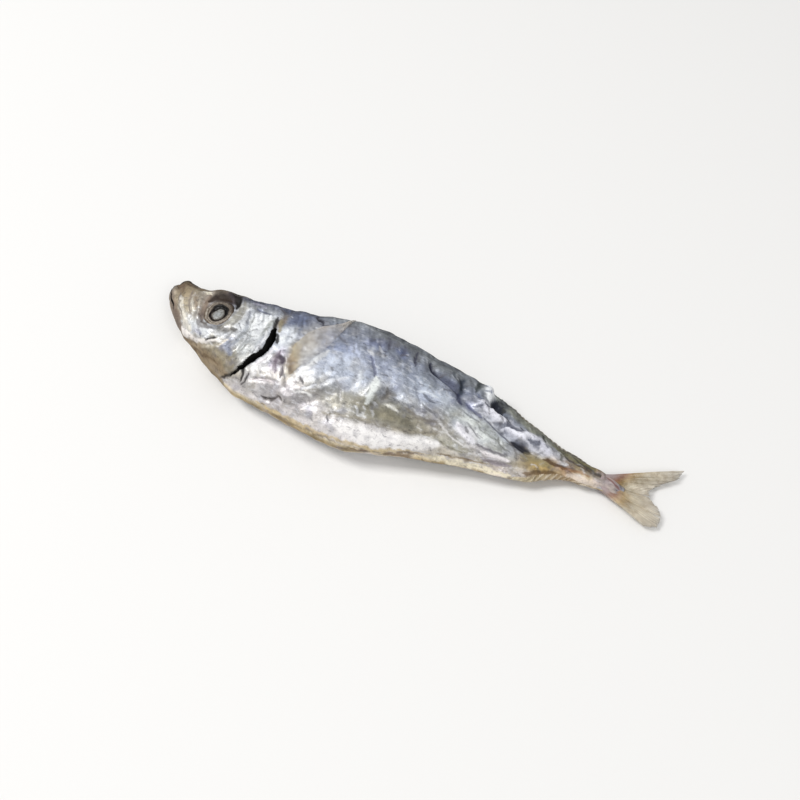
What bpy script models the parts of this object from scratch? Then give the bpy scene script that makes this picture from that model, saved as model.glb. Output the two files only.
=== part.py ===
"""Dried round scad: one whole small fish, dried until its skin has sunk and creased.

The fish lies on its right flank. +X runs from head to tail, +Y from belly to back and +Z out of
the left flank. The origin is at the middle of the bounding box, on the surface it rests on.
Lengths are in millimetres in the fish's own frame, and MM turns them into metres at the end.
"""
import bmesh
import bpy
import numpy as np

MM = 0.001
BOX_CENTRE = (-3.5, -5.43)  # middle of the finished fish, in the fish's own frame

# Side view of the body: the line of the back and the line of the belly, as (x, y)
SNOUT_X = -100.8
STALK_END_X = 77.0  # the tail stalk ends inside the root of the tail fin
BACK = (
    (-100.8, 2.6), (-100.2, 4.4), (-98.6, 5.2), (-96.6, 6.4), (-93, 7.0), (-87, 7.1), (-80, 9.2),
    (-66, 10.6), (-52, 12.2), (-44, 13.6), (-34, 16.5), (-20, 18.2), (-8, 17.6), (6, 16.2), (16, 15.6),
    (22, 14.6), (30, 12.0), (40, 9.0), (50, 6.2), (60, 4.6), (68, 4.0), (77, 2.4),
)
BELLY = (
    (-100.8, 1.8), (-100.2, -0.4), (-98.4, -3.0), (-92, -8.9), (-84, -14.4), (-76, -18.6), (-64, -24.0),
    (-55, -27.0), (-42, -28.0), (-27, -29.6), (-12, -29.2), (0, -25.2), (14, -21.0), (26, -17.0),
    (39, -13.6), (45, -10.8), (51, -6.8), (57, -3.4), (64, -2.5), (77, -2.2),
)
# How far each flank stands out from the middle plane, and the height of that plane, as (x, z)
LEFT_SWELL = (
    (-100.8, 0.9), (-99.5, 2.6), (-96, 4.2), (-88, 6.6), (-75, 8.8), (-60, 10.4), (-40, 12.0), (-15, 12.4),
    (8, 10.6), (26, 7.6), (42, 5.4), (56, 3.6), (67, 2.7), (73, 1.7), (77, 0.4),
)
RIGHT_SWELL = (
    (-100.8, 0.9), (-99.5, 2.4), (-96, 3.8), (-88, 5.6), (-75, 7.8), (-60, 9.6), (-40, 10.6), (-15, 10.8),
    (8, 9.6), (26, 7.0), (42, 5.0), (56, 3.6), (67, 2.7), (73, 1.7), (77, 0.4),
)
MIDDLE_Z = (
    (-100.8, 8.2), (-75, 8.6), (-40, 9.4), (-15, 9.6), (8, 8.4), (26, 6.7), (42, 5.2), (56, 4.2), (77, 3.4),
)
CREST_SHARE = 0.56  # share of the depth, up from the belly, where a flank stands highest
BACK_FULLNESS = 0.86  # below 1 a section is fuller than an ellipse
BELLY_FULLNESS = 1.04

# Grid of the body: spans of stations as (start x, end x, count), and steps over each flank
STATION_SPANS = ((-100.8, -98.0, 4), (-98.0, -46.0, 34), (-46.0, 18.0, 26), (18.0, 77.0, 23))
LEFT_STEPS = 32
RIGHT_STEPS = 12
EVENING = 0.03  # turns by which the steps are drawn from the edges of a flank toward its middle

# Head, alike on both flanks
EYE = (-74.6, -3.1)
EYE_RADIUS = 5.4
EYE_SIDES = 24
EYE_PROFILE = (  # from the root inside the head, over the rim, to the pupil: (share of the radius, height)
    (1.02, -2.6), (1.04, 0.1), (0.95, 0.75), (0.84, 0.7), (0.72, 0.15), (0.62, 0.5), (0.46, 0.25),
)
SOCKET_RADIUS = 7.0
SOCKET_DEPTH = 1.0
HEAD_RIDGES = (  # brow, cheek bone and the line ahead of the gill cover: (path, half width, height)
    (((-83.5, 1.6), (-79.0, 4.6), (-73.0, 5.6), (-67.5, 4.2)), 1.5, 1.1),
    (((-83.0, -2.4), (-81.4, -7.4), (-77.4, -10.6), (-71.6, -11.0), (-66.8, -7.6)), 1.2, 0.7),
    (((-62.0, -1.6), (-60.2, -7.0), (-59.4, -12.0), (-60.4, -15.6), (-63.5, -18.4)), 1.0, -0.6),
)
JAW_RIM = ((-93.0, -3.2), (-87.0, -9.2), (-82.0, -12.8), (-76.5, -15.2), (-71.0, -15.8), (-66.5, -13.6))
GILL_EDGE = (
    (-53.4, 3.2), (-52.0, -1.6), (-50.4, -5.6), (-49.6, -9.6), (-50.2, -13.2), (-52.2, -16.4), (-55.0, -20.4),
    (-58.2, -23.6),
)
HEAD_LEDGES = ((JAW_RIM, 1, 0.8, 5.0), (GILL_EDGE, -1, 1.3, 6.0))  # (path, raised side, height, reach)
MOUTH = ((-102.0, 5.0), (-98.6, 3.4), (-95.0, -1.4), (-90.8, -6.4), (-86.2, -10.8), (-82.0, -13.8))
MOUTH_WIDTH = 1.0
MOUTH_DEPTHS = (4.5, 2.0)  # at the tip of the snout and at the corner of the mouth
GILL_WIDTH = 2.3
GILL_DEPTHS = (4.5, 3.0)  # at the top and at the throat
GILL_LEAN = 1.8  # the slit runs in under the gill cover by this much
SLIT_STEPS = 15
SLIT_SKY = 2.5  # how far a slit's cutter stands out of the skin

# Tail end, alike on both flanks: the raised band of bony scutes
SCUTE_BAND = ((22.5, 9.4), (30.0, 6.8), (38.0, 4.4), (47.0, 2.4), (57.0, 1.0), (66.0, 0.8))
SCUTE_HALF_WIDTH = 2.2
SCUTE_HEIGHT = 1.5
SCUTE_PITCH = 3.4
SCUTE_BUMP = 0.25  # share of the height

# Folds of the left flank only: (path, half width, height), a negative height for a groove
FOLDS = (
    (((-36.0, -24.0), (-31.0, -21.2), (-25.5, -17.2), (-18.0, -10.4)), 1.5, 1.1),
    (((-33.5, -25.6), (-27.0, -21.6), (-21.0, -16.6), (-15.5, -11.0)), 2.0, -1.0),
    (((-8.0, -6.0), (-8.2, -9.4), (-11.0, -16.0)), 1.5, 1.2),
    (((-7.0, -13.6), (-4.8, -9.6), (0.6, -9.0)), 2.0, -1.4),
    (((-18.0, 2.4), (-14.6, -1.8), (-9.6, -6.8)), 1.1, -0.8),
    (((1.4, 10.6), (4.0, 7.6), (10.0, 5.6), (16.4, 3.4), (20.0, 0.6)), 1.4, -1.3),
    (((12.0, 11.8), (15.6, 8.2), (18.0, 4.4)), 1.3, -1.1),
    (((4.0, -4.6), (11.6, -3.6)), 1.3, -0.8),
    (((-26.0, -20.6), (-10.0, -17.4), (2.0, -15.6), (16.0, -12.4)), 4.6, -1.4),
    (((27.0, 1.2), (35.0, -1.4), (43.0, -3.2), (51.0, -2.6)), 1.7, -1.3),
    (((-42.0, 8.6), (-38.0, 6.4), (-33.0, 9.4)), 1.3, -0.7),
    (((-44.0, -26.0), (-40.4, -25.8), (-37.0, -24.2)), 1.2, -1.0),
)
# Mounds and hollows of the left flank: (centre, radii, turn, height)
TORN_SKIN = (
    ((27.6, 9.0), (2.7, 1.9), -0.6, -2.2),  # a hole torn in the skin of the back
    ((22.4, 12.6), (2.6, 2.1), -0.6, 1.1),  # the curl of skin torn out of it
)

# The belly wall has shrunk to a thin ragged flap below a seam
SEAM = ((0.0, -24.6), (9.0, -20.8), (16.0, -17.8), (23.0, -14.4), (30.0, -11.6), (36.0, -10.2), (42.0, -9.0))
SEAM_HALF_WIDTH = 1.2
SEAM_DEPTH = 0.9
FLAP_SINK = 1.5
VENT = ((36.8, -12.2), (4.6, 1.5), 0.32, -0.8)  # centre, radii, turn and height of the sunken vent

# The pectoral fin lies back over the left flank, from its root to its tip
PECTORAL_FRONT = ((-41.8, -10.4), (-39.4, -5.0), (-36.6, 2.0), (-33.4, 8.6), (-31.4, 14.8))
PECTORAL_REAR = ((-36.4, -18.4), (-35.2, -12.0), (-32.2, -3.6), (-30.0, 5.2), (-30.4, 14.6))
PECTORAL_RAYS = 7
PECTORAL_STEPS = 9
PECTORAL_PROUD = 0.55
PECTORAL_SUNK = 1.2
PECTORAL_RIB = 0.16

# The tail fin fans out from its root in the stalk to its edge, from the upper tip round the fork to the lower
TAIL_ROOT = ((68.5, 3.0), (68.5, -1.2))
TAIL_EDGE = (
    (93.8, 19.0), (92.2, 14.4), (88.2, 10.4), (85.4, 7.2), (84.6, 4.4), (87.2, 2.4), (89.6, 0.2),
    (91.2, -3.4), (90.6, -6.4), (87.4, -7.6),
)
TAIL_RAYS = 13
TAIL_STEPS = 8
TAIL_THICK = (3.4, 0.7)  # at the root and at the edge
TAIL_Z = (3.4, 2.6)
TAIL_RIB = 0.2

# The second dorsal fin and the anal fin are folded down to low ridges, as (start x, end x)
BACK_FIN_SPAN = (24.0, 66.0)
ANAL_FIN_SPAN = (42.0, 66.0)
FOLDED_FIN_PROUD = 0.9
FOLDED_FIN_TURN = 0.035  # half width of such a ridge, in turns round the body

SKIN_COLOUR = (0.46, 0.47, 0.50, 1.0)
SKIN_ROUGHNESS = 0.38
SKIN_METALLIC = 0.45


def curve(knots, x):
    """Height at x of the smooth curve through the knots."""
    kx, ky = np.array(knots, float).T
    gap = np.diff(kx)
    grade = np.diff(ky) / gap
    slope = np.empty(len(kx))
    slope[0] = grade[0]
    slope[-1] = grade[-1]
    slope[1:-1] = (grade[:-1] * gap[1:] + grade[1:] * gap[:-1]) / (gap[1:] + gap[:-1])
    x = np.clip(x, kx[0], kx[-1])
    i = np.clip(np.searchsorted(kx, x) - 1, 0, len(kx) - 2)
    t = (x - kx[i]) / gap[i]
    rise = t * t * (3 - 2 * t)
    return (ky[i] * (1 - rise) + ky[i + 1] * rise
            + gap[i] * (t * (1 - t) ** 2 * slope[i] - t * t * (1 - t) * slope[i + 1]))


def along(path, share):
    """Points at these shares of the way along a smooth path."""
    points = np.array(path, float)
    run = np.append(0, np.cumsum(np.hypot(*np.diff(points, axis=0).T)))
    run /= run[-1]
    return np.stack([curve(np.column_stack([run, column]), share) for column in points.T], -1)


def near(path, x, y):
    """Distance to a path, the side of it (positive on its left) and the share of the way along it."""
    spots = along(path, np.linspace(0, 1, 8 * len(path)))
    starts, steps = spots[:-1], np.diff(spots, axis=0)
    dx = x[..., None] - starts[:, 0]
    dy = y[..., None] - starts[:, 1]
    share = np.clip((dx * steps[:, 0] + dy * steps[:, 1]) / (steps ** 2).sum(1), 0, 1)
    apart = np.hypot(dx - share * steps[:, 0], dy - share * steps[:, 1])
    best = apart.argmin(-1)[..., None]
    side = np.sign(steps[:, 0] * dy - steps[:, 1] * dx)

    def pick(values):
        return np.take_along_axis(values, best, -1)[..., 0]

    return pick(apart), pick(side), (best[..., 0] + pick(share)) / len(steps)


def ridge(path, half_width, height, x, y):
    """A rounded ridge, or with a negative height a groove, that fades out at both ends."""
    apart, _, share = near(path, x, y)
    return height * np.exp(-(apart / half_width) ** 2) * np.sin(np.pi * np.clip(share, 0.04, 0.96)) ** 0.5


def ledge(path, side, height, reach, x, y):
    """A rise on one side of a path, steep at the path and dying away over the reach."""
    apart, hand, share = near(path, x, y)
    across = apart * hand * side
    fade = ease(0, 0.15, share) * ease(0, 0.15, 1 - share)
    return height * fade * ease(-0.6, 0.9, across) * np.exp(-(apart / reach) ** 2)


def bowl(centre, radii, turn, height, x, y):
    """A rounded mound, or with a negative height a hollow."""
    dx, dy = x - centre[0], y - centre[1]
    u = (dx * np.cos(turn) + dy * np.sin(turn)) / radii[0]
    v = (dy * np.cos(turn) - dx * np.sin(turn)) / radii[1]
    return height * np.exp(-(u * u + v * v) ** 1.5)


def ease(low, high, value):
    """0 below low, 1 above high and smooth between them."""
    t = np.clip((value - low) / (high - low), 0, 1)
    return t * t * (3 - 2 * t)


def wrinkles(x, y):
    """The slow unevenness of skin that has dried over flesh and bone."""
    return (0.22 * np.sin(0.42 * x + 0.9 * np.sin(0.21 * y)) * np.sin(0.37 * y + 0.13 * x)
            + 0.14 * np.sin(0.83 * x - 0.55 * y + 1.3) * np.sin(0.31 * x + 0.71 * y))


def head_relief(x, y):
    """Eye socket, bones of the face, jaw plate and gill cover."""
    rise = bowl(EYE, (SOCKET_RADIUS, SOCKET_RADIUS), 0, -SOCKET_DEPTH, x, y)
    for path, half_width, height in HEAD_RIDGES:
        rise += ridge(path, half_width, height, x, y)
    for path, side, height, reach in HEAD_LEDGES:
        rise += ledge(path, side, height, reach, x, y)
    return rise


def tail_relief(x, y):
    """The band of scutes, the seam above the belly flap and the vent."""
    apart, _, share = near(SCUTE_BAND, x, y)
    bumps = 1 + SCUTE_BUMP * np.sin(2 * np.pi * x / SCUTE_PITCH)
    rise = SCUTE_HEIGHT * bumps * np.exp(-(apart / SCUTE_HALF_WIDTH) ** 4)
    rise *= ease(0, 0.08, share) * ease(0, 0.5, 1 - share)
    apart, side, share = near(SEAM, x, y)
    fade = ease(0, 0.2, share) * ease(0, 0.15, 1 - share)
    rise -= fade * SEAM_DEPTH * np.exp(-(apart / SEAM_HALF_WIDTH) ** 2)
    rise -= fade * FLAP_SINK * ease(0, 2.0, -side * apart)
    return rise + bowl(*VENT, x, y)


def relief(x, y, left):
    """How far the skin stands off the plain body at (x, y), on the left flank or the right one."""
    own = 0
    for path, half_width, height in FOLDS:
        own = own + ridge(path, half_width, height, x, y)
    for centre, radii, turn, height in TORN_SKIN:
        own = own + bowl(centre, radii, turn, height, x, y)
    return wrinkles(x, y) + head_relief(x, y) + tail_relief(x, y) + own * left


def plain_body(x, turn):
    """Points of the body without relief: turn is 0 at the back, 0.25 on the left flank, 0.5 at the belly."""
    back, belly = curve(BACK, x), curve(BELLY, x)
    crest = belly + CREST_SHARE * (back - belly)
    angle = 2 * np.pi * turn
    reach, lift = np.cos(angle), np.sin(angle)
    y = crest + np.where(reach > 0, back - crest, crest - belly) * reach
    fullness = np.where(reach > 0, BACK_FULLNESS, BELLY_FULLNESS)
    swell = np.where(lift > 0, curve(LEFT_SWELL, x), -curve(RIGHT_SWELL, x))
    return np.stack([x, y, curve(MIDDLE_Z, x) + swell * np.abs(lift) ** fullness], -1)


def outward(x, turn):
    """Unit vectors out of the plain body."""
    step = 1e-3
    lengthwise = plain_body(x + 50 * step, turn) - plain_body(x - 50 * step, turn)
    around = plain_body(x, turn + step) - plain_body(x, turn - step)
    normal = np.cross(around, lengthwise)
    return normal / np.maximum(np.linalg.norm(normal, axis=-1, keepdims=True), 1e-9)


def turns_on(start, steps):
    """Turns over one flank, closer together where the flank is broad."""
    share = np.arange(steps) / steps
    return start + share / 2 + EVENING * np.sin(2 * np.pi * share)


def folded_fins(x, turn):
    """The fins of the back and the anal fin, folded down to low ridges."""
    def fin(span, edge):
        inside = ease(span[0], span[0] + 6, x) * ease(0, 8, span[1] - x)
        return FOLDED_FIN_PROUD * inside * np.exp(-(edge / FOLDED_FIN_TURN) ** 2)

    from_back = np.minimum(turn, 1 - turn)
    return fin(BACK_FIN_SPAN, from_back) + fin(ANAL_FIN_SPAN, np.abs(turn - 0.5))


def skin(x, turn):
    """Points of the finished skin, resting flat where it would reach below the surface."""
    points = plain_body(x, turn)
    rise = relief(points[..., 0], points[..., 1], (turn > 0) & (turn < 0.5))
    edge = ease(0, 0.04, np.minimum(np.abs(turn - 0.5), np.minimum(turn, 1 - turn)))
    rise = rise * (0.35 + 0.65 * edge) * ease(SNOUT_X, SNOUT_X + 3, x) * ease(0, 6, STALK_END_X - x)
    points += outward(x, turn) * (rise + folded_fins(x, turn))[..., None]
    points[..., 2] = np.maximum(points[..., 2], 0)
    return points


def flank_point(x, y, left=True):
    """Point of the skin over (x, y) and the way out of it, on the left flank or the right one."""
    back, belly = curve(BACK, x), curve(BELLY, x)
    crest = belly + CREST_SHARE * (back - belly)
    reach = np.clip(np.where(y > crest, (y - crest) / (back - crest), (y - crest) / (crest - belly)), -1, 1)
    turn = np.arccos(reach) / (2 * np.pi)
    turn = turn if left else 1 - turn
    normal = outward(x, turn)
    return plain_body(x, turn) + normal * relief(x, y, left)[..., None], normal


def mesh_object(name, points, faces):
    """Closed mesh object of triangles that face outward; the points are in millimetres."""
    mesh = bpy.data.meshes.new(name)
    placed = np.reshape(points, (-1, 3)) - (*BOX_CENTRE, 0)
    mesh.from_pydata((placed * MM).tolist(), [], faces)
    work = bmesh.new()
    work.from_mesh(mesh)
    bmesh.ops.recalc_face_normals(work, faces=work.faces)
    bmesh.ops.triangulate(work, faces=work.faces)
    work.to_mesh(mesh)
    work.free()
    made = bpy.data.objects.new(name, mesh)
    bpy.context.scene.collection.objects.link(made)
    return made


def loft_faces(rings, sides):
    """Quads between closed rings of points, with a face over each end."""
    faces = []
    for i in range(rings - 1):
        for j in range(sides):
            k = (j + 1) % sides
            faces.append((i * sides + j, i * sides + k, (i + 1) * sides + k, (i + 1) * sides + j))
    faces.append(tuple(range(sides)))
    faces.append(tuple(range((rings - 1) * sides, rings * sides)))
    return faces


def slab(name, top, bottom):
    """Closed solid between two grids of points with the same rows and columns."""
    rows, columns = top.shape[:2]
    count = rows * columns
    faces = []
    for i in range(rows - 1):
        for j in range(columns - 1):
            a = i * columns + j
            faces.append((a, a + 1, a + columns + 1, a + columns))
            faces.append((count + a, count + a + columns, count + a + columns + 1, count + a + 1))
    rim = list(range(columns))
    rim += [i * columns + columns - 1 for i in range(1, rows)]
    rim += [(rows - 1) * columns + j for j in range(columns - 2, -1, -1)]
    rim += [i * columns for i in range(rows - 2, 0, -1)]
    for a, b in zip(rim, rim[1:] + rim[:1]):
        faces.append((a, b, count + b, count + a))
    return mesh_object(name, np.concatenate([top.reshape(-1, 3), bottom.reshape(-1, 3)]), faces)


def shares(rows, columns):
    """Grid of the shares 0 to 1 down a fin's length and over its width."""
    return np.meshgrid(np.linspace(0, 1, rows), np.linspace(0, 1, columns), indexing="ij")


def make_body():
    """Head, trunk and tail stalk as one skin."""
    stations = np.concatenate([np.linspace(a, b, n, endpoint=False) for a, b, n in STATION_SPANS])
    stations = np.append(stations, STALK_END_X)
    turns = np.concatenate([turns_on(0, LEFT_STEPS), turns_on(0.5, RIGHT_STEPS)])
    x, turn = np.meshgrid(stations, turns, indexing="ij")
    points = skin(x, turn)
    return mesh_object("round_scad", points, loft_faces(len(stations), len(turns)))


def make_eye(left):
    """Turned disc of the eye: rim, iris, pupil, and a root inside the head."""
    angles = 2 * np.pi * np.arange(EYE_SIDES) / EYE_SIDES
    centre, normal = flank_point(np.array([EYE[0]]), np.array([EYE[1]]), left)
    centre, normal = centre[0], normal[0]
    across = np.cross(normal, (0, 1, 0))
    across /= np.linalg.norm(across)
    upward = np.cross(normal, across)
    spokes = EYE_RADIUS * (np.cos(angles)[:, None] * across + np.sin(angles)[:, None] * upward)
    rings = [centre + share * spokes + height * normal for share, height in EYE_PROFILE]
    return mesh_object("eye", np.array(rings), loft_faces(len(EYE_PROFILE), EYE_SIDES))


def make_slit_cutter(path, width, depths, lean, left):
    """Blade along a path that cuts a tapering slit and leans toward the head as it goes in."""
    share = np.linspace(0, 1, SLIT_STEPS)[:, None]
    spots = along(path, share[:, 0])
    heading = np.gradient(spots, axis=0)
    heading /= np.linalg.norm(heading, axis=1, keepdims=True)
    surface, _ = flank_point(spots[:, 0], spots[:, 1], left)
    across = np.column_stack([-heading[:, 1], heading[:, 0], 0 * share])
    half = width / 2 * np.clip(np.sin(np.pi * (0.06 + 0.9 * share)) * 1.2, 0.15, 1)
    out = np.array([0, 0, 1 if left else -1])
    depth = depths[0] + (depths[1] - depths[0]) * share
    floor = surface - depth * out - (lean, 0, 0)
    sky = surface + SLIT_SKY * out
    rings = np.stack([sky - across * half, sky + across * half, floor + across * half / 2,
                      floor - across * half / 2], 1)
    return mesh_object("slit_cutter", rings, loft_faces(SLIT_STEPS, 4))


def make_pectoral_fin():
    """Thin ribbed blade that lies on the left flank, sunk in it by its root."""
    down, over = shares(PECTORAL_STEPS, 2 * PECTORAL_RAYS + 1)
    front, rear = along(PECTORAL_FRONT, down), along(PECTORAL_REAR, down)
    flat = front + (rear - front) * over[..., None]
    surface, normal = flank_point(flat[..., 0], flat[..., 1])
    ribs = PECTORAL_RIB * ease(0, 0.4, down) * np.cos(2 * np.pi * PECTORAL_RAYS * over)
    proud = PECTORAL_PROUD * ease(-0.1, 0.3, down) * (1 - 0.3 * down) + ribs
    return slab("pectoral_fin", surface + normal * proud[..., None], surface - normal * PECTORAL_SUNK)


def make_tail_fin():
    """Forked fan of rays, thick at its root inside the tail stalk and thin at its edge."""
    down, over = shares(TAIL_STEPS, 2 * TAIL_RAYS + 1)
    root = np.array(TAIL_ROOT[0]) + (np.array(TAIL_ROOT[1]) - TAIL_ROOT[0]) * over[..., None]
    flat = root + (along(TAIL_EDGE, over) - root) * down[..., None]
    ribs = TAIL_RIB * down * np.cos(2 * np.pi * TAIL_RAYS * over)
    half = (TAIL_THICK[0] + (TAIL_THICK[1] - TAIL_THICK[0]) * down ** 0.5) / 2 + ribs
    half *= 0.5 + 0.5 * np.sin(np.pi * over) ** 0.5
    middle = TAIL_Z[0] + (TAIL_Z[1] - TAIL_Z[0]) * down
    top = np.concatenate([flat, (middle + half)[..., None]], -1)
    bottom = np.concatenate([flat, (middle - half)[..., None]], -1)
    return slab("tail_fin", top, bottom)


def join(target, others, operation):
    """Unites the others with the target, or cuts them out of it, and removes them."""
    group = bpy.data.collections.new("joining")
    for other in others:
        group.objects.link(other)
    boolean = target.modifiers.new("join", "BOOLEAN")
    boolean.operation = operation
    boolean.operand_type = "COLLECTION"
    boolean.collection = group
    bpy.context.view_layer.update()
    evaluated = target.evaluated_get(bpy.context.evaluated_depsgraph_get())
    mesh = bpy.data.meshes.new_from_object(evaluated)
    target.modifiers.clear()
    target.data = mesh
    for other in others:
        bpy.data.objects.remove(other)
    bpy.data.collections.remove(group)


def make_skin_material():
    """Dull silver of dried skin."""
    material = bpy.data.materials.new("skin")
    material.use_nodes = True
    shader = material.node_tree.nodes["Principled BSDF"]
    shader.inputs["Base Color"].default_value = SKIN_COLOUR
    shader.inputs["Roughness"].default_value = SKIN_ROUGHNESS
    shader.inputs["Metallic"].default_value = SKIN_METALLIC
    return material


def main():
    for old in list(bpy.data.objects):
        bpy.data.objects.remove(old)
    fish = make_body()
    gills = [make_slit_cutter(GILL_EDGE, GILL_WIDTH, GILL_DEPTHS, GILL_LEAN, left) for left in (True, False)]
    mouth = [make_slit_cutter(MOUTH, MOUTH_WIDTH, MOUTH_DEPTHS, 0, left) for left in (True, False)]
    join(fish, gills + mouth, "DIFFERENCE")
    join(fish, [make_eye(True), make_eye(False), make_pectoral_fin(), make_tail_fin()], "UNION")
    fish.data.materials.clear()
    fish.data.materials.append(make_skin_material())
    fish.data.shade_smooth()
    fish.data.set_sharp_from_angle(angle=np.radians(40))


main()
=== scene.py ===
"""Looks of the dried round scad: its skin, eyes and fins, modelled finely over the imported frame.

Lengths are in millimetres in the fish's own frame, as in the part's source: +X from head to tail, +Y from
belly to back, +Z out of the left flank, which lies up. place() turns them into metres in the row's frame.
"""
import itertools

import bmesh
import bpy
import numpy as np
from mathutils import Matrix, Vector


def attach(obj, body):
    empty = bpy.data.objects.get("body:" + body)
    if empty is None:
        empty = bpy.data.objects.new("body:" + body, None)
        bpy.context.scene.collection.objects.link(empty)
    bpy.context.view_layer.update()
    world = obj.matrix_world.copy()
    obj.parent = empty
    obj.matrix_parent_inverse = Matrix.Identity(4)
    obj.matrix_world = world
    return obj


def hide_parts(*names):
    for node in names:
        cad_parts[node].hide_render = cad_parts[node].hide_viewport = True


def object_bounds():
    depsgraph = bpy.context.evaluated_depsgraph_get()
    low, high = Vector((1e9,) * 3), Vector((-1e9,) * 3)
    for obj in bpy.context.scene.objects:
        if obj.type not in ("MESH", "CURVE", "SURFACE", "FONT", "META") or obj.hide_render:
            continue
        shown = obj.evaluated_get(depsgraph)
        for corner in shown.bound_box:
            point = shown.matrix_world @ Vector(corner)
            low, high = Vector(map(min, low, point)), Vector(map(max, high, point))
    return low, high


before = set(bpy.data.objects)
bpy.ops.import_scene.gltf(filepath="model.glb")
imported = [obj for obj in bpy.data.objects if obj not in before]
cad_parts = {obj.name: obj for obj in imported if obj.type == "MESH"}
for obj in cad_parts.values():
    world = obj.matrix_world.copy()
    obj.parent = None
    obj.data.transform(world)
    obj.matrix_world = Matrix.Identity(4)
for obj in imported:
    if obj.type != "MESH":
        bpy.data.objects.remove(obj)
CAD_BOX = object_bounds()

MM = 0.001
BOX_CENTRE = (-3.5, -5.43)
NODE = "round_scad"
BODY = "root"

# ---- Form, by the names of the part's source, with some relief stronger or finer than there ----
SNOUT_X = -100.8
STALK_END_X = 77
BACK = (
    (-100.8, 2.6), (-100.2, 4.4), (-98.6, 5.2), (-96.6, 6.4), (-93, 7), (-87, 7.1), (-80, 9.2),
    (-66, 10.6), (-52, 12.2), (-44, 13.6), (-34, 16.5), (-20, 18.2), (-8, 17.6), (6, 16.2), (16, 15.6),
    (22, 14.6), (30, 12), (40, 9), (50, 6.2), (60, 4.6), (68, 4), (77, 2.4),
)
BELLY = (
    (-100.8, 1.8), (-100.2, -0.4), (-98.4, -3), (-92, -8.9), (-84, -14.4), (-76, -18.6), (-64, -24),
    (-55, -27), (-42, -28), (-27, -29.6), (-12, -29.2), (0, -25.2), (14, -21), (26, -17),
    (39, -13.6), (45, -10.8), (51, -6.8), (57, -3.4), (64, -2.5), (77, -2.2),
)
LEFT_SWELL = (
    (-100.8, 0.9), (-99.5, 2.6), (-96, 4.2), (-88, 6.6), (-75, 8.8), (-60, 10.4), (-40, 12), (-15, 12.4),
    (8, 10.6), (26, 7.6), (42, 5.4), (56, 3.6), (67, 2.7), (73, 1.7), (77, 0.4),
)
RIGHT_SWELL = (
    (-100.8, 0.9), (-99.5, 2.4), (-96, 3.8), (-88, 5.6), (-75, 7.8), (-60, 9.6), (-40, 10.6), (-15, 10.8),
    (8, 9.6), (26, 7), (42, 5), (56, 3.6), (67, 2.7), (73, 1.7), (77, 0.4),
)
MIDDLE_Z = (
    (-100.8, 8.2), (-75, 8.6), (-40, 9.4), (-15, 9.6), (8, 8.4), (26, 6.7), (42, 5.2), (56, 4.2), (77, 3.4),
)
CREST_SHARE = 0.56
BACK_FULLNESS = 0.86
BELLY_FULLNESS = 1.04

EYE = (-74.8, -3.4)
EYE_RADIUS = 5.4
EYE_SPOT = (-75, -3.8)  # middle of the dried eye in its socket
EYE_HOLLOW = 2.2  # how far the skin drops away under the eye
EYE_RIM = (1.04, 0.8)  # where this drop begins and is full, by share of the eye's radius
SOCKET_RADIUS = 7
SOCKET_DEPTH = 1
JAW_RIM = ((-93, -3.2), (-87, -9.2), (-82, -12.8), (-76.5, -15.2), (-71, -15.8), (-66.5, -13.6))
GILL_EDGE = (
    (-53.4, 3.2), (-52, -1.6), (-50.4, -5.6), (-49.6, -9.6), (-50.2, -13.2), (-52.2, -16.4),
    (-55, -20.4), (-58.2, -23.6),
)
HEAD_LEDGES = ((JAW_RIM, 1, 0.8, 5), (GILL_EDGE, -1, 1.3, 6))  # (path, raised side, height, reach)
MOUTH = ((-102, 4.6), (-100.2, 1.8), (-97.2, -2.2), (-92.8, -7))
# Slits: (path, width, depth, lean toward the head)
GILL_SLIT = (((-51.2, -3.2), *GILL_EDGE[2:]), 1.6, 2.8, 0.1)
MOUTH_SLIT = (MOUTH, 0.5, 0.8, 0)
SLIT_WALL = (0.42, 0.72)  # where a slit's wall begins and ends, by nearness to its middle
SLIT_LIP = (0.33, 0.4)  # where its colour turns black with painted shade, just outside the wall
HEAD_RIDGES = (  # (path, half width, height), a negative height for a groove
    (((-83.5, 1.6), (-79, 4.6), (-73, 5.6), (-67.5, 4.2)), 1.5, 1.1),
    (((-83, -2.4), (-81.4, -7.4), (-77.4, -10.6), (-71.6, -11), (-66.8, -7.6)), 1.2, 0.7),
    (((-62, -1.6), (-60.2, -7), (-59.4, -12), (-60.4, -15.6), (-63.5, -18.4)), 1, -0.6),
    (((-84.6, 2), (-83.6, -2), (-81, -7.2)), 0.7, 0.45),
    (((-93.6, 2.6), (-91.4, -2.4), (-87.2, -7.6), (-83, -11)), 0.5, -0.4),
    (((-95.4, 3.4), (-93.2, -1.8), (-88.8, -7.4)), 0.4, 0.3),
    (((-90, 1.8), (-88, -3), (-84.6, -8.2)), 0.45, 0.3),
    (((-84, -15), (-76, -18.4), (-66, -22.4)), 0.5, -0.45),
    (((-80, -15.8), (-72, -18.6), (-62, -22)), 0.45, -0.35),
    (((-74, -16.8), (-67, -19), (-60, -20.6)), 0.4, -0.3),
    (((-57, 3), (-56.2, -3), (-55.2, -9), (-56, -14)), 0.6, -0.3),
    (((-66, 4), (-60, 3.2), (-55, 4)), 0.6, -0.4),
    (((-71, 9), (-62, 9), (-53, 9.6), (-45, 10.6)), 0.8, -0.5),
    (((-98.6, 5.6), (-96.6, 6.4), (-94.2, 6.2)), 1.1, 1.3),
    (((-101, 4.4), (-99.6, 4.2), (-97.8, 3.4), (-96.4, 1.8)), 0.8, -1.3),
)
NOSTRIL = ((-87.4, 3.6), (1, 0.7), 0.3, -0.7)

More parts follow.
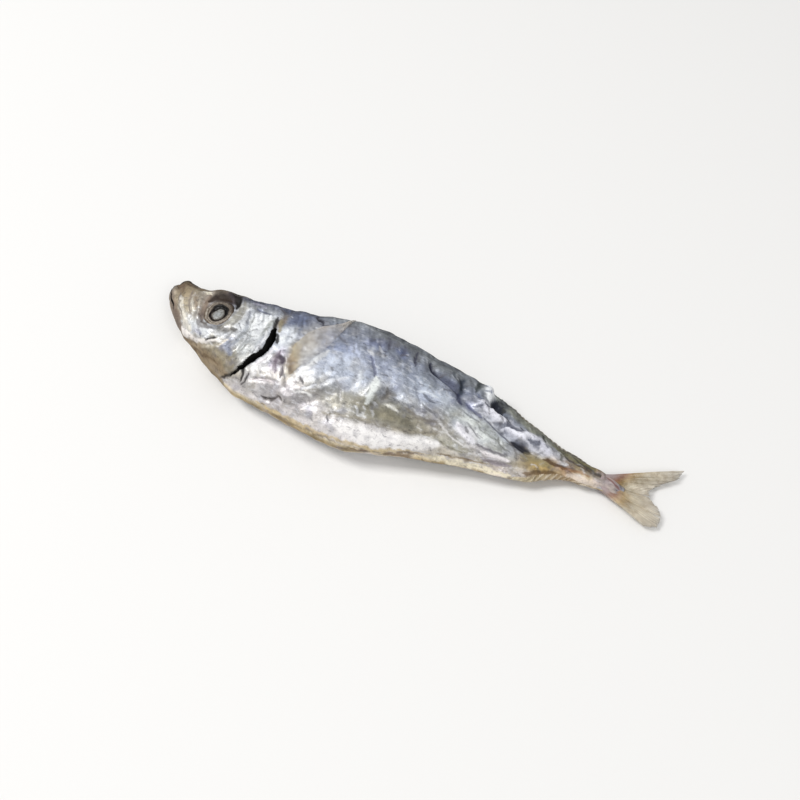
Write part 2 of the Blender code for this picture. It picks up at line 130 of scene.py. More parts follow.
SCUTE_BAND = ((21, 5), (27, 2.9), (35, 1.3), (43, 0.9), (51, 0.8), (60, 0.4))
SCUTE_HALF_WIDTH = 2.2
SCUTE_HEIGHT = 1.5
SCUTE_PITCH = 1.7
SCUTE_BUMP = 0.42
SCUTE_LUMPY = 0.78  # how far dried lumps hide the regular row of scutes

FOLDS = (
    (((-36, -24), (-31, -21.2), (-25.5, -17.2), (-18, -10.4)), 1.8, 0.7),
    (((-33.5, -25.6), (-27, -21.6), (-21, -16.6), (-15.5, -11)), 2.4, -0.7),
    (((-8, -6), (-8.2, -9.4), (-11, -16)), 1.5, 1.2),
    (((-7, -13.6), (-4.8, -9.6), (0.6, -9)), 2, -1.4),
    (((-18, 2.4), (-14.6, -1.8), (-9.6, -6.8)), 1.1, -0.35),
    (((1.4, 10.6), (4, 7.6), (10, 5.6), (16.4, 3.4), (20, 0.6)), 1.4, -1.3),
    (((12, 11.8), (15.6, 8.2), (18, 4.4)), 1.3, -1.1),
    (((4, -4.6), (11.6, -3.6)), 1.3, -0.8),
    (((-26, -20.6), (-10, -17.4), (2, -15.6), (16, -12.4)), 4.6, -1.4),
    (((27, 1.2), (35, -1.4), (43, -3.2), (51, -2.6)), 1.7, -1.3),
    (((-42, 8.6), (-38, 6.4), (-33, 9.4)), 1.3, -0.7),
    (((-44, -26), (-40.4, -25.8), (-37, -24.2)), 1.2, -1),
)
# Marks on the skin: (path, half width, height, display colour, strength), on both flanks
HEAD_MARKS = (
    # Lower jaw, lips and maxilla
    (((-101.2, 2.6), (-98.2, -2.2), (-94, -6.6), (-89, -10.8), (-85, -13.4)), 1.5, 0.15, (116, 102, 90), 0.8),
    (((-98.8, -3), (-94.4, -7.6), (-89.4, -11.8)), 0.5, 0.1, (172, 152, 130), 0.6),
    (((-93, -1.6), (-89.5, -6), (-85, -10.6), (-80, -13)), 1, 0.25, (230, 224, 210), 0.82),
    (((-94.6, 0.4), (-91.4, -4.6), (-87, -9.4)), 0.45, -0.3, (116, 104, 96), 0.7),
    (((-90, 2), (-87.6, -3.4), (-84, -8)), 0.45, -0.25, (132, 122, 118), 0.6),
    (((-88.4, 1.4), (-86, -3.6), (-82.6, -8.4)), 0.6, 0.2, (222, 216, 202), 0.6),
    (((-82, 2), (-81.2, -1.5), (-80.6, -5.2), (-78.6, -8.6)), 0.8, -0.2, (122, 104, 88), 0.65),
    (((-99, 5), (-97, 6.6), (-94.4, 6.8)), 1.4, 0.2, (24, 18, 14), 0.97),
    (((-96, 5.6), (-90, 5), (-84, 6), (-77, 7.6), (-69, 8.6)), 1.6, 0, (104, 91, 70), 0.75),
    (((-97, 6.6), (-90, 6.8), (-84, 8), (-78, 9.4), (-70, 10)), 1.5, 0, (56, 45, 34), 0.88),
    (((-71, 10), (-62, 11), (-52, 12.1), (-45, 13.2)), 1, 0, (58, 61, 74), 0.85),
    (((-97.4, 4.4), (-95, 2.4), (-93.6, 0)), 0.8, -0.2, (110, 92, 74), 0.6),
    (((-101.4, 4.2), (-100.8, 2.6), (-99.8, 0.6)), 1.5, 0, (27, 21, 17), 0.96),
    (((-95, 5.2), (-90.6, 4.4), (-86.4, 5.2)), 0.5, -0.25, (96, 78, 62), 0.6),
    (((-84.8, 3.2), (-83.2, 2.8), (-82, 2.2)), 1, 0.2, (232, 225, 204), 0.9),
    (((-88.4, 0.6), (-85.4, -2.4), (-83.6, -5.6)), 0.8, 0, (146, 128, 108), 0.6),
    # Below and behind the eye
    (((-86, -12.2), (-82.4, -13.8), (-78, -15.2), (-72.6, -15.4), (-68.6, -13.8)), 0.7, 0.35,
     (246, 240, 234), 0.9),
    (((-86.6, -13.4), (-82.6, -15.2), (-77.6, -16.6), (-72, -16.6)), 0.4, -0.4, (100, 80, 62), 0.85),
    (((-72.8, -14.7), (-70.8, -13.7), (-69.6, -13.3)), 0.55, -0.5, (26, 22, 20), 0.95),
    (((-80.2, -9.4), (-76.4, -11), (-72.6, -10.6)), 0.7, -0.25, (104, 98, 98), 0.75),
    (((-72, -9.4), (-68.4, -9.9), (-65.4, -8.8)), 1, -0.25, (112, 108, 102), 0.75),
    (((-78.8, -12.8), (-75.4, -13.4)), 0.6, -0.1, (140, 142, 158), 0.6),
    (((-68.6, 4), (-66.4, 0), (-66, -5), (-67, -9)), 0.6, -0.3, (146, 142, 132), 0.65),
    (((-64.4, -5.6), (-65.2, -10), (-66.8, -13)), 0.4, -0.25, (140, 142, 146), 0.5),
    (((-62, -3.6), (-61.2, -9), (-62.4, -14.4)), 0.7, -0.2, (170, 176, 186), 0.6),
    (((-58.6, -7), (-57.6, -12), (-58.6, -16)), 0.5, -0.2, (182, 188, 192), 0.5),
    (((-64.6, -13.4), (-63.2, -16), (-60.8, -17.6)), 1.2, -0.2, (150, 156, 172), 0.6),
    (((-81, -0.6), (-79.8, 1.8), (-77, 3), (-73.6, 3)), 1.3, -0.3, (46, 34, 25), 0.92),
    (((-76, 8.6), (-74, 6.8), (-71.8, 4.6), (-70.2, 2)), 1.4, -0.5, (24, 17, 12), 0.96),
    (((-71.4, 4.8), (-70.2, 2.6), (-69.8, 0.6)), 0.9, -0.4, (14, 10, 8), 0.95),
    (((-69, 2.6), (-67.6, -1), (-67.8, -6), (-70.2, -9.4)), 0.9, 0.15, (182, 178, 164), 0.65),
    (((-82, 5.4), (-78.6, 6.6), (-75, 7.4)), 1, 0, (88, 70, 50), 0.75),
    (((-81.2, -6.6), (-78.6, -9), (-75, -10.2)), 0.45, -0.2, (84, 68, 56), 0.7),
    (((-62.4, 0.6), (-60.8, -3.6), (-61, -8.4), (-62.6, -12.4)), 0.4, -0.2, (134, 136, 134), 0.65),
    (((-66.4, -8), (-65, -8.8), (-63.8, -8.4)), 0.7, -0.2, (84, 80, 76), 0.75),
    (((-64.8, 1.4), (-63, -1.2), (-62.4, -4.6)), 0.4, -0.2, (120, 124, 134), 0.6),
    (((-58.8, 1.6), (-57.4, -1.4), (-57.6, -4.2)), 0.3, -0.2, (172, 176, 180), 0.5),
    (((-60.6, -8.2), (-57.6, -9), (-55.4, -8.4)), 0.3, -0.15, (142, 142, 138), 0.6),
    (((-63, 3.8), (-59, 2.6), (-56.6, 3)), 0.6, -0.2, (92, 96, 120), 0.7),
    (((-65.6, 5), (-62.8, 5.6), (-60, 4.6)), 0.7, 0.1, (188, 186, 204), 0.6),
    (((-64.2, -15.2), (-62.4, -16.4), (-61.2, -17.6)), 0.8, -0.1, (124, 128, 142), 0.6),
    (((-57.4, -12.8), (-58.4, -15.6), (-60.4, -18.2)), 0.35, -0.2, (150, 150, 142), 0.6),
    (((-78.8, -16.4), (-72.6, -16.9), (-67.6, -15.6), (-64.8, -12.6)), 0.6, 0.15, (214, 204, 184), 0.6),
    # Throat
    (((-84, -15.6), (-76, -18.4), (-68, -21), (-60, -23.4)), 2.1, 0, (138, 120, 94), 0.8),
    (((-80, -16.8), (-72, -19.2), (-64, -21.4)), 0.35, -0.3, (106, 88, 66), 0.75),
    (((-76, -20), (-68, -22.8), (-60, -25.2)), 0.4, -0.2, (118, 98, 72), 0.6),
    (((-67, -18), (-62.6, -19.6), (-59.6, -20.8)), 0.6, 0.1, (168, 158, 138), 0.5),
    # Edge of the gill cover and the skin beside it; the near-black grooves at the ends of the gill slit are
    # painted shade in the gill opening
    (((-53.8, 2.6), (-52.6, 0.4), (-51.8, -2.4), (-50.8, -4.6)), 0.45, -0.5, (34, 28, 24), 0.9),
    (((-52, 1.8), (-50.4, -0.8), (-49, -3.8)), 0.85, 0.35, (150, 140, 114), 0.85),
    (((-50.6, -4.6), (-48.9, -5.8), (-47.6, -8.4)), 0.65, -0.7, (30, 26, 26), 0.92),
    (((-54.8, -19.6), (-53.6, -21.6), (-53.6, -24)), 0.5, -0.6, (26, 22, 22), 0.95),
    (((-51.4, -20.6), (-51.6, -22.8), (-52.8, -24.8)), 0.42, -0.5, (40, 35, 36), 0.9),
    (((-57, -22.4), (-59.4, -23.7), (-62, -24.3)), 0.5, -0.5, (28, 22, 18), 0.9),
    (((-53, -5.4), (-51.6, -9.6), (-52.4, -13.6)), 0.5, 0.3, (250, 250, 250), 0.6),
    (((-47.6, -10), (-48.4, -14), (-51, -18.4)), 0.6, 0.25, (240, 234, 236), 0.6),
    (((-57.6, 8.8), (-53, 5.6), (-51.4, 2.4)), 0.5, -0.3, (92, 88, 90), 0.6),
)
# The same for the folds, stains and damage of the left flank alone, some of them painted highlights, shade
# and shadow
LEFT_MARKS = (
    # Behind the head
    (((-42.8, 11.4), (-41.2, 8.8), (-39.2, 8.2), (-37.4, 6.4), (-35.4, 7.2), (-33.8, 9.6)), 0.55, -0.8,
     (36, 34, 42), 0.9),
    (((-44.8, -26), (-41, -26), (-38.2, -24.4), (-36.2, -24.9)), 0.45, -0.7, (66, 58, 54), 0.85),
    # painted shadow in the fold beside the root of the pectoral fin, in this mark and the next
    (((-44.6, -12.2), (-43, -12.9), (-41.4, -14.2)), 0.9, -0.6, (66, 56, 68), 0.85),
    (((-41.4, -15.2), (-40.6, -17), (-40.4, -18.8)), 0.5, -0.4, (78, 68, 76), 0.8),
    (((-45.2, -10.2), (-44.4, -14.6), (-42.6, -18.4)), 0.4, -0.3, (112, 100, 112), 0.7),
    (((-46.4, -1.2), (-44.8, -6), (-45.6, -10)), 0.5, -0.2, (196, 202, 210), 0.5),
    (((-34.6, -16), (-31.8, -9), (-29.8, -3.4)), 1, 0.2, (228, 228, 226), 0.7),
    (((-50, -22.6), (-45, -21), (-40, -20.6)), 0.5, -0.4, (170, 160, 164), 0.5),
    (((-30.2, 3.8), (-28, 2.8), (-26.4, 2.2)), 0.7, -0.4, (96, 96, 104), 0.7),
    # Folds of the flank: the light marks on their ridges are painted highlights, the dark marks in their
    # creases painted shade
    (((-16.2, 1), (-13.4, -2.2), (-10.2, -6.6)), 0.5, -0.3, (100, 104, 126), 0.8),
    (((-10.6, -5.4), (-9.7, -8.4), (-9.3, -12), (-9.6, -15.4)), 1.1, 0.3, (236, 240, 236), 0.85),
    (((-5.8, -7.2), (-4.8, -9.2), (-5.8, -12)), 0.8, -0.5, (104, 100, 94), 0.7),
    (((-4.6, -8), (-2, -8.4)), 0.5, -0.4, (112, 108, 102), 0.65),
    (((-3.6, -12.8), (-1, -12.4), (0.8, -12.8)), 0.7, 0.4, (226, 224, 214), 0.8),
    (((-32, -19.6), (-29.2, -18.4), (-27, -16.2)), 0.6, 0.4, (238, 240, 244), 0.75),
    (((-24.4, -13.6), (-21.6, -12.4), (-18.6, -10)), 0.6, 0.35, (238, 240, 244), 0.7),
    (((-29, -21.6), (-24.6, -18.2), (-19.6, -15.6)), 0.8, -0.2, (158, 156, 156), 0.5),
    (((-33.4, -21.4), (-29.4, -20.6), (-26.6, -20.9)), 0.4, 0.3, (244, 244, 240), 0.75),
    (((-22, -12.4), (-19.4, -15.4), (-18, -18.6)), 0.5, -0.4, (168, 166, 166), 0.5),
    (((-16.6, -6), (-14.8, -9.4), (-14.4, -13.2)), 0.6, 0.3, (232, 236, 240), 0.6),
    (((5.6, -3), (8.8, -4.2), (11.8, -3.2)), 0.4, -0.45, (108, 112, 122), 0.8),
    (((6.6, -6.4), (10, -7.6), (13, -7)), 0.35, -0.35, (116, 116, 118), 0.7),
    (((1.6, -2), (4.6, -5), (7, -8.4)), 0.35, -0.3, (138, 140, 150), 0.6),
    (((3.2, -3.4), (6.8, -2.4), (10.8, -2.2)), 0.5, 0.3, (232, 238, 244), 0.7),
    (((2, -10.6), (8, -11.4), (14.6, -9.8)), 0.5, -0.3, (118, 110, 98), 0.6),
    (((8.6, -13), (10.4, -15.4)), 0.6, 0.3, (206, 200, 186), 0.7),
    # Upper flank
    (((-3.9, 11.8), (-3.1, 8.6), (-1.8, 5.2)), 0.5, -0.6, (54, 54, 70), 0.85),
    (((1.8, 11), (3.2, 8.2), (5.2, 6.5), (8, 5.8)), 0.7, -0.9, (30, 32, 54), 0.92),
    (((7.6, 6), (12, 5.6), (15.4, 4)), 1, -0.6, (84, 88, 106), 0.75),
    (((14, 11.6), (15.4, 7.6), (16.2, 4)), 0.8, -0.8, (50, 58, 70), 0.88),
    (((15.4, 4.4), (16.6, 1.6), (17.8, 0.2)), 0.9, -0.5, (56, 60, 86), 0.8),
    (((10.2, 12), (11.4, 9.2), (13.6, 8.4)), 0.5, -0.4, (70, 78, 84), 0.7),
    (((18.6, 14.8), (19.6, 11), (20, 8)), 0.8, -0.5, (48, 54, 54), 0.85),
    (((-9, 12.6), (-7.4, 9.8), (-6.8, 6.8)), 0.45, -0.3, (88, 88, 104), 0.6),
    (((-15.4, 13), (-13.4, 9.6), (-12.4, 6)), 0.6, -0.3, (80, 80, 92), 0.6),
    (((-18, 2.4), (-16.6, 2.2), (-15.4, 1.2)), 0.6, 0.1, (222, 222, 222), 0.6),
    (((-24, 14.6), (-8, 13.6), (8, 12), (15, 11.4)), 0.7, -0.4, (92, 96, 98), 0.5),
    # Belly
    (((-16, -25.6), (-6, -24), (3, -21.6), (11, -18.2), (17, -15.4)), 2, 0.3, (248, 245, 242), 0.9),
    (((-22, -24), (-10, -20.8), (0, -18.8), (8, -16.2), (16, -12.8)), 0.6, -0.4, (150, 142, 124), 0.6),
    (((-46, -27.2), (-30, -28.5), (-14, -28.3), (-4, -26.2), (6, -22.6), (16, -19.2)), 0.3, 0.1,
     (204, 182, 134), 0.75),
    (((-40, -28.4), (-26, -29.2), (-14, -29)), 0.25, -0.1, (120, 98, 66), 0.6),
    (((-10, -28.6), (-2, -26.2), (7, -22.8), (14, -20.4)), 0.25, -0.3, (112, 86, 56), 0.7),
    # Tail end
    (((22.4, 15.2), (23.2, 12.2), (24.2, 9.8), (25.2, 7.2)), 1.7, 0.8, (250, 252, 253), 0.97),
    (((21.2, 12.8), (22.6, 12.4), (23.6, 12.8)), 0.35, -0.4, (142, 148, 168), 0.75),
    (((22.2, 10), (23.6, 10.4), (24.8, 9.8)), 0.35, -0.4, (132, 138, 160), 0.75),
    (((24.6, 14), (25, 12.6), (26, 11.4)), 0.4, -0.4, (96, 102, 118), 0.8),
    (((20.8, 7.6), (22, 6.2), (24, 5.6)), 0.6, -0.4, (104, 112, 136), 0.75),
    (((27.6, 6.4), (28.8, 8.2), (29.4, 9.8)), 0.25, 0.3, (190, 196, 208), 0.8),
    (((30.6, 9.8), (31, 7)), 0.35, 0.3, (150, 146, 122), 0.7),
    (((29.6, 4.6), (32, 4.2), (34.6, 3.4)), 0.65, -0.6, (44, 46, 50), 0.88),
    (((38.2, 4), (39.8, 3.4), (41.4, 3.4)), 0.55, -0.5, (50, 52, 54), 0.85),
    (((46, 6.2), (46.8, 4.2), (47.8, 3.4)), 0.5, -0.5, (46, 46, 44), 0.88),
    (((54, 3), (54.8, 0)), 0.5, -0.3, (84, 86, 78), 0.75),
    (((19, 2), (22, 0.4), (26, -0.2)), 0.5, -0.4, (88, 92, 120), 0.75),
    (((26, 0.2), (31, -1.2), (36, -2.2), (40, -3)), 0.45, -0.4, (96, 98, 110), 0.75),
    # painted shadow under the band of scutes
    (((38, -2.2), (40.6, -2.8), (44.6, -3)), 0.85, -0.8, (36, 38, 46), 0.94),
    (((25.4, 9.6), (27, 11), (30, 10.6)), 0.4, 0.3, (188, 192, 186), 0.7),
    (((36, -1.8), (40, -4.4), (42, -7.4)), 0.4, -0.4, (128, 122, 116), 0.6),
    (((19.4, -6.4), (23, -8.6), (27.4, -9.4)), 1.1, 0.4, (244, 242, 246), 0.85),
    (((21.4, -4.6), (25, -5.4), (28, -7.4)), 0.4, -0.4, (124, 124, 128), 0.65),
    (((18.6, -1.4), (22, -2), (25.6, -1.8)), 0.35, -0.3, (118, 122, 128), 0.6),
    (((24.6, -2.6), (28.6, -4.4), (33.6, -4.8)), 0.35, -0.3, (128, 130, 126), 0.55),
    (((33, -3.2), (35, -5.6), (38.6, -6.4)), 0.4, -0.3, (108, 108, 104), 0.65),
    (((15, -9.6), (20, -11.6), (27, -11.6)), 0.4, 0.2, (236, 234, 232), 0.7),
    (((14, -13.4), (20, -14.6), (26, -13.4)), 0.35, -0.2, (132, 126, 108), 0.6),
    (((30, -10.7), (35, -9.9), (40.2, -8.7)), 0.6, 0.4, (246, 240, 240), 0.88),
    (((27.6, -9.4), (33, -9), (38, -8)), 0.4, -0.4, (104, 98, 106), 0.75),
    (((31, -12.3), (36, -11.7), (40.6, -10)), 0.7, -0.3, (158, 149, 158), 0.75),
    (((14, -20.2), (22, -17.7), (28, -15.9), (36, -14.1), (42, -12)), 0.45, 0.2, (236, 226, 200), 0.9),
    (((18, -18), (26, -15.4), (34, -13.2)), 0.3, -0.3, (140, 118, 84), 0.7),
    (((42, -5.2), (47, -3.8), (52, -3.2)), 1.6, 0, (142, 132, 98), 0.6),
    (((45, -9.6), (50, -6.8), (55, -4.3), (60, -3.1)), 0.6, -0.2, (112, 88, 58), 0.8),
    (((49.6, -2.2), (54, -2), (57.4, -1.4)), 0.6, -0.4, (76, 52, 34), 0.85),
    (((55.6, -1.8), (61, -0.9), (65, -0.4)), 0.4, 0.1, (140, 102, 68), 0.65),
    (((58, -2.7), (63, -2.2), (69, -1.4)), 0.7, 0.25, (230, 214, 196), 0.85),
    (((50, 4.8), (58, 3.4), (66, 2.8)), 1.1, 0, (112, 107, 76), 0.8),
    (((54, 2.2), (62, 1.6), (69.6, 1.2)), 0.5, -0.4, (80, 70, 62), 0.75),
    (((66, -0.6), (69, -1), (72, -0.8)), 0.7, 0.2, (200, 184, 178), 0.6),
    (((70.6, 2.6), (73, 1.6), (75.4, 0.6)), 0.5, -0.2, (112, 66, 60), 0.75),
    (((57, 4.2), (61, 2.6), (66, 2), (70, 1.4)), 0.35, -0.3, (64, 62, 56), 0.8),
    (((52.6, 4.6), (55, 3), (57.6, 1)), 0.4, -0.3, (74, 74, 66), 0.75),
)
TORN_SKIN = (  # (centre, radii, turn, height): the hole, then the flake of skin beside it
    ((28.9, 7.7), (2.6, 3.3), 0.1, -2.8),
    ((23.2, 12.2), (1.9, 3.4), 0.25, 0.8),
)
HOLE_DARK = 0.84  # how dark the hole is
HOLE_RIM = (0.2, 0.36)  # where its dark begins and is full, by share of its depth
HOLE_COLOUR = (20, 23, 34)
SEAM = ((0, -24.6), (9, -20.8), (16, -17.8), (23, -14.4), (30, -11.6), (36, -10.2), (42, -9))
SEAM_HALF_WIDTH = 1.2
SEAM_DEPTH = 0.9
FLAP_SINK = 1.5
VENT = ((36.8, -12.2), (4.6, 1.5), 0.32, -0.8)

PECTORAL_FRONT = ((-42.4, -9), (-41.2, -4.4), (-39.2, 1.2), (-36.4, 5.6), (-31.8, 10.2), (-30, 15.2))
PECTORAL_REAR = ((-38.2, -19.2), (-35, -12.4), (-31.8, -5.4), (-30.2, 1), (-29.8, 7.8), (-29.6, 15))
RIGHT_FIN_REACH = 0.8  # how far the right pectoral fin reaches along the left one's path
TAIL_ROOT = ((68.5, 3), (68.5, -1.2))
TAIL_EDGE = (
    (93.8, 19), (92.2, 14.4), (88.2, 10.4), (85.4, 7.2), (84.6, 4.4), (87.2, 2.4), (89.6, 0.2),
    (91.2, -3.4), (90.6, -6.4), (87.4, -7.6),
)
TAIL_Z = (3.4, 2.6)
BACK_FIN_SPAN = (24, 66)
ANAL_FIN_SPAN = (42, 66)
FOLDED_FIN_PROUD = 0.9
FOLDED_FIN_TURN = 0.035

# ---- Fineness of the dressed model ----
STATION_SPANS = ((-100.8, -98, 14), (-98, -46, 160), (-46, 18, 124), (18, 77, 122))
LEFT_STEPS = 152
RIGHT_STEPS = 66
EVENING = 0.03
PAPERY = 0.22  # depth of the fine crinkles of the skin
TOP_EASING = 1.4  # how far below the top of the solid's box heights begin to be eased off
SKIN_METAL = 0.42  # how metallic the most silvery skin is
SPECULAR = 0.22  # of the skin and the eyes
FRAYING = 0.4  # how far the lips of the slits and the rim of the hole wander
SKIN_SINK = 0.05  # how far the skin keeps inside the solid's surface
SKIN_LOWEST = 0.03  # lowest height over the floor of the skin, and of the other pieces
TAIL_LOWEST = 0.05
FIN_LOWEST = 0.02
EYE_LOWEST = 0.02

# ---- Camera: the photograph's viewing angle ----
CAMERA_AZIMUTH = 26.64
CAMERA_ELEVATION = 58
CAMERA_DISTANCE = 303.3
CAMERA_AIM = (-2.85, -3.87, 10)
CAMERA_LENS = 40
SENSOR_WIDTH = 36

# ---- Floor, lights and room, in metres ----
FLOOR_HALF = 3.0
FLOOR_COLOUR = (0.82, 0.81, 0.79, 1.0)
LIGHTS = (  # (name, spot, size, power)
    ("key", (-0.95, -0.25, 1.5), 0.6, 22.0),
    ("side", (0.8, -0.5, 1.1), 0.6, 4.0),
)
LIGHT_TARGET = (0, 0, 0.01)
ROOM_COLOUR = (0.97, 0.98, 1.0, 1.0)
ROOM_STRENGTH = 0.47

LATTICE_SIDE = 32
LATTICE = np.random.default_rng(11).uniform(-1, 1, 3 * (LATTICE_SIDE,))


def curve(knots, x):
    """Height at x of the smooth curve through the knots."""
    kx, ky = np.array(knots, float).T
    gap = np.diff(kx)
    grade = np.diff(ky) / gap
    slope = np.empty(len(kx))
    slope[0] = grade[0]
    slope[-1] = grade[-1]
    slope[1:-1] = (grade[:-1] * gap[1:] + grade[1:] * gap[:-1]) / (gap[1:] + gap[:-1])
    x = np.clip(x, kx[0], kx[-1])
    i = np.clip(np.searchsorted(kx, x) - 1, 0, len(kx) - 2)
    t = (x - kx[i]) / gap[i]
    rise = t * t * (3 - 2 * t)
    return (ky[i] * (1 - rise) + ky[i + 1] * rise
            + gap[i] * (t * (1 - t) ** 2 * slope[i] - t * t * (1 - t) * slope[i + 1]))


def along(path, share):
    """Points at these shares of the way along a smooth path."""
    points = np.array(path, float)
    run = np.append(0, np.cumsum(np.hypot(*np.diff(points, axis=0).T)))
    run /= run[-1]
    return np.stack([curve(np.column_stack([run, column]), share) for column in points.T], -1)


def near(path, x, y, margin):
    """Distance to a path, its side (left is positive) and the share along it; far off beyond the margin."""
    spots = along(path, np.linspace(0, 1, 8 * len(path)))
    low, high = spots.min(0) - margin, spots.max(0) + margin
    close = (x > low[0]) & (x < high[0]) & (y > low[1]) & (y < high[1])
    apart = np.full(x.shape, 1e3)
    side = np.ones(x.shape)
    share = np.zeros(x.shape)
    starts, steps = spots[:-1], np.diff(spots, axis=0)
    dx = x[close][:, None] - starts[:, 0]
    dy = y[close][:, None] - starts[:, 1]
    part = np.clip((dx * steps[:, 0] + dy * steps[:, 1]) / (steps ** 2).sum(1), 0, 1)
    gap = np.hypot(dx - part * steps[:, 0], dy - part * steps[:, 1])
    rows, best = np.arange(len(gap)), gap.argmin(-1)
    apart[close] = gap[rows, best]
    side[close] = np.sign(steps[:, 0] * dy - steps[:, 1] * dx)[rows, best]
    share[close] = (best + part[rows, best]) / len(steps)
    return apart, side, share


def ease(low, high, value):
    """0 below low, 1 above high and smooth between them."""
    t = np.clip((value - low) / (high - low), 0, 1)
    return t * t * (3 - 2 * t)


def ridge(path, half_width, height, x, y):
    """A rounded ridge, or with a negative height a groove, that fades out at both ends."""
    apart, _, share = near(path, x, y, 4 * half_width)
    return height * np.exp(-(apart / half_width) ** 2) * np.sin(np.pi * np.clip(share, 0.04, 0.96)) ** 0.5


def ledge(path, side, height, reach, x, y):
    """A rise on one side of a path, steep at the path and dying away over the reach."""
    apart, hand, share = near(path, x, y, 3 * reach)
    across = apart * hand * side
    fade = ease(0, 0.15, share) * ease(0, 0.15, 1 - share)
    return height * fade * ease(-0.6, 0.9, across) * np.exp(-(apart / reach) ** 2)


def bowl(centre, radii, turn, height, x, y):
    """A rounded mound, or with a negative height a hollow."""
    dx, dy = x - centre[0], y - centre[1]
    u = (dx * np.cos(turn) + dy * np.sin(turn)) / radii[0]
    v = (dy * np.cos(turn) - dx * np.sin(turn)) / radii[1]
    return height * np.exp(-(u * u + v * v) ** 1.5)


def noise(points, size):
    """Smooth random values from -1 to 1 over cells of this size."""
    cell = points / size
    base = np.floor(cell).astype(int)
    t = cell - base
    t = t * t * (3 - 2 * t)
    total = 0
    for corner in itertools.product((0, 1), repeat=3):
        weight = np.prod(np.where(corner, t, 1 - t), axis=-1)
        i, j, k = np.moveaxis((base + corner) % LATTICE_SIDE, -1, 0)
        total = total + weight * LATTICE[i, j, k]
    return total


def cloud(points, size, octaves):
    """Noise with ever finer detail."""
    return sum(noise(points + 31.7 * k, size / 2 ** k) / 2 ** k for k in range(octaves))


def wrinkles(x, y):
    """The slow unevenness of skin that has dried over flesh and bone."""
    return (0.22 * np.sin(0.42 * x + 0.9 * np.sin(0.21 * y)) * np.sin(0.37 * y + 0.13 * x)
            + 0.14 * np.sin(0.83 * x - 0.55 * y + 1.3) * np.sin(0.31 * x + 0.71 * y))


def head_relief(x, y):
    """Eye socket, bones of the face, jaw plate, nostril and gill cover."""
    rise = bowl(EYE, (SOCKET_RADIUS, SOCKET_RADIUS), 0, -SOCKET_DEPTH, x, y) + bowl(*NOSTRIL, x, y)
    rise = sum((ridge(*row[:3], x, y) for row in HEAD_RIDGES + HEAD_MARKS), rise)
    return sum((ledge(*row, x, y) for row in HEAD_LEDGES), rise)


def scutes(x, y):
    """How far (x, y) is inside the band of scutes, and how high on its own scute, both from 0 to 1."""
    apart, _, share = near(SCUTE_BAND, x, y, 8)
    apart = apart / (1 + 0.4 * cloud(np.stack([x, y, 0 * x], -1), 3.6, 3))
    inside = np.exp(-(apart / SCUTE_HALF_WIDTH) ** 4) * ease(0, 0.08, share) * ease(0, 0.5, 1 - share)
    chevron = (x / SCUTE_PITCH + 0.5 * np.minimum(apart, SCUTE_HALF_WIDTH)) % 1
    lumps = 0.55 + 1.15 * cloud(np.stack([x + 5, 1.1 * y, 0 * x], -1), 2.8, 3)
    tooth = (1 - SCUTE_LUMPY) * chevron * ease(1.0, 0.86, chevron) + SCUTE_LUMPY * np.clip(lumps, 0, 1)
    return inside, tooth


def tail_relief(x, y):
    """The band of scutes under dried lumps, the seam above the belly flap and the vent."""
    inside, tooth = scutes(x, y)
    rise = SCUTE_HEIGHT * inside * (1 - SCUTE_BUMP + 2 * SCUTE_BUMP * tooth)
    apart, side, share = near(SEAM, x, y, 20)
    fade = ease(0, 0.2, share) * ease(0, 0.15, 1 - share)
    rise -= fade * SEAM_DEPTH * np.exp(-(apart / SEAM_HALF_WIDTH) ** 2)
    rise -= fade * FLAP_SINK * ease(0, 2.0, -side * apart)
    return rise + bowl(*VENT, x, y)


def left_relief(x, y):
    """Folds, creases and torn skin of the left flank."""
    rise = sum(ridge(*row[:3], x, y) for row in FOLDS + LEFT_MARKS)
    return sum((bowl(*row, x, y) for row in TORN_SKIN), rise)


def relief(x, y, left):
    """All the relief that has a place of its own, with the left flank's where left is true."""
    return wrinkles(x, y) + head_relief(x, y) + tail_relief(x, y) + left_relief(x, y) * left


def crinkles(points):
    """Fine crumpled relief of the dry skin: sharp-edged facets with a finer grain on them."""
    bent = points + 1.2 * np.stack([noise(points + shift, 5.0) for shift in (3, 40, 77)], -1)
    facets = 1 - 2 * np.abs(noise(bent * (0.8, 1, 1), 7.0))
    facets = facets - 0.5 * np.abs(noise(bent * (0.5, 1, 1) + 9, 2.6))
    return PAPERY * (facets + 0.22 * cloud(points, 1.4, 2))


def slit_gape(slit, x, y):
    """How near (x, y) is to the middle of a slit: 1 in the middle, 0.5 at its lips and 0 well outside."""
    path, width, _, _ = slit
    apart, _, share = near(path, x, y, 2 * width)
    half = width / 2 * np.clip(1.2 * np.sin(np.pi * (0.18 + 0.78 * share)), 0.15, 1)
    return np.clip(1 - 0.5 * apart / half, 0, 1)


def outline(x):
    """Heights in Y of the back, the belly and the broadest part of the body at x."""
    back, belly = curve(BACK, x), curve(BELLY, x)
    return back, belly, belly + CREST_SHARE * (back - belly)


def plain_body(x, turn):
    """Points of the body without relief: turn is 0 at the back, 0.25 on the left flank, 0.5 at the belly."""
    back, belly, crest = outline(x)
    angle = 2 * np.pi * turn
    reach, lift = np.cos(angle), np.sin(angle)
    y = crest + np.where(reach > 0, back - crest, crest - belly) * reach
    fullness = np.where(reach > 0, BACK_FULLNESS, BELLY_FULLNESS)
    swell = np.where(lift > 0, curve(LEFT_SWELL, x), -curve(RIGHT_SWELL, x))
    return np.stack([x, y, curve(MIDDLE_Z, x) + swell * np.abs(lift) ** fullness], -1)


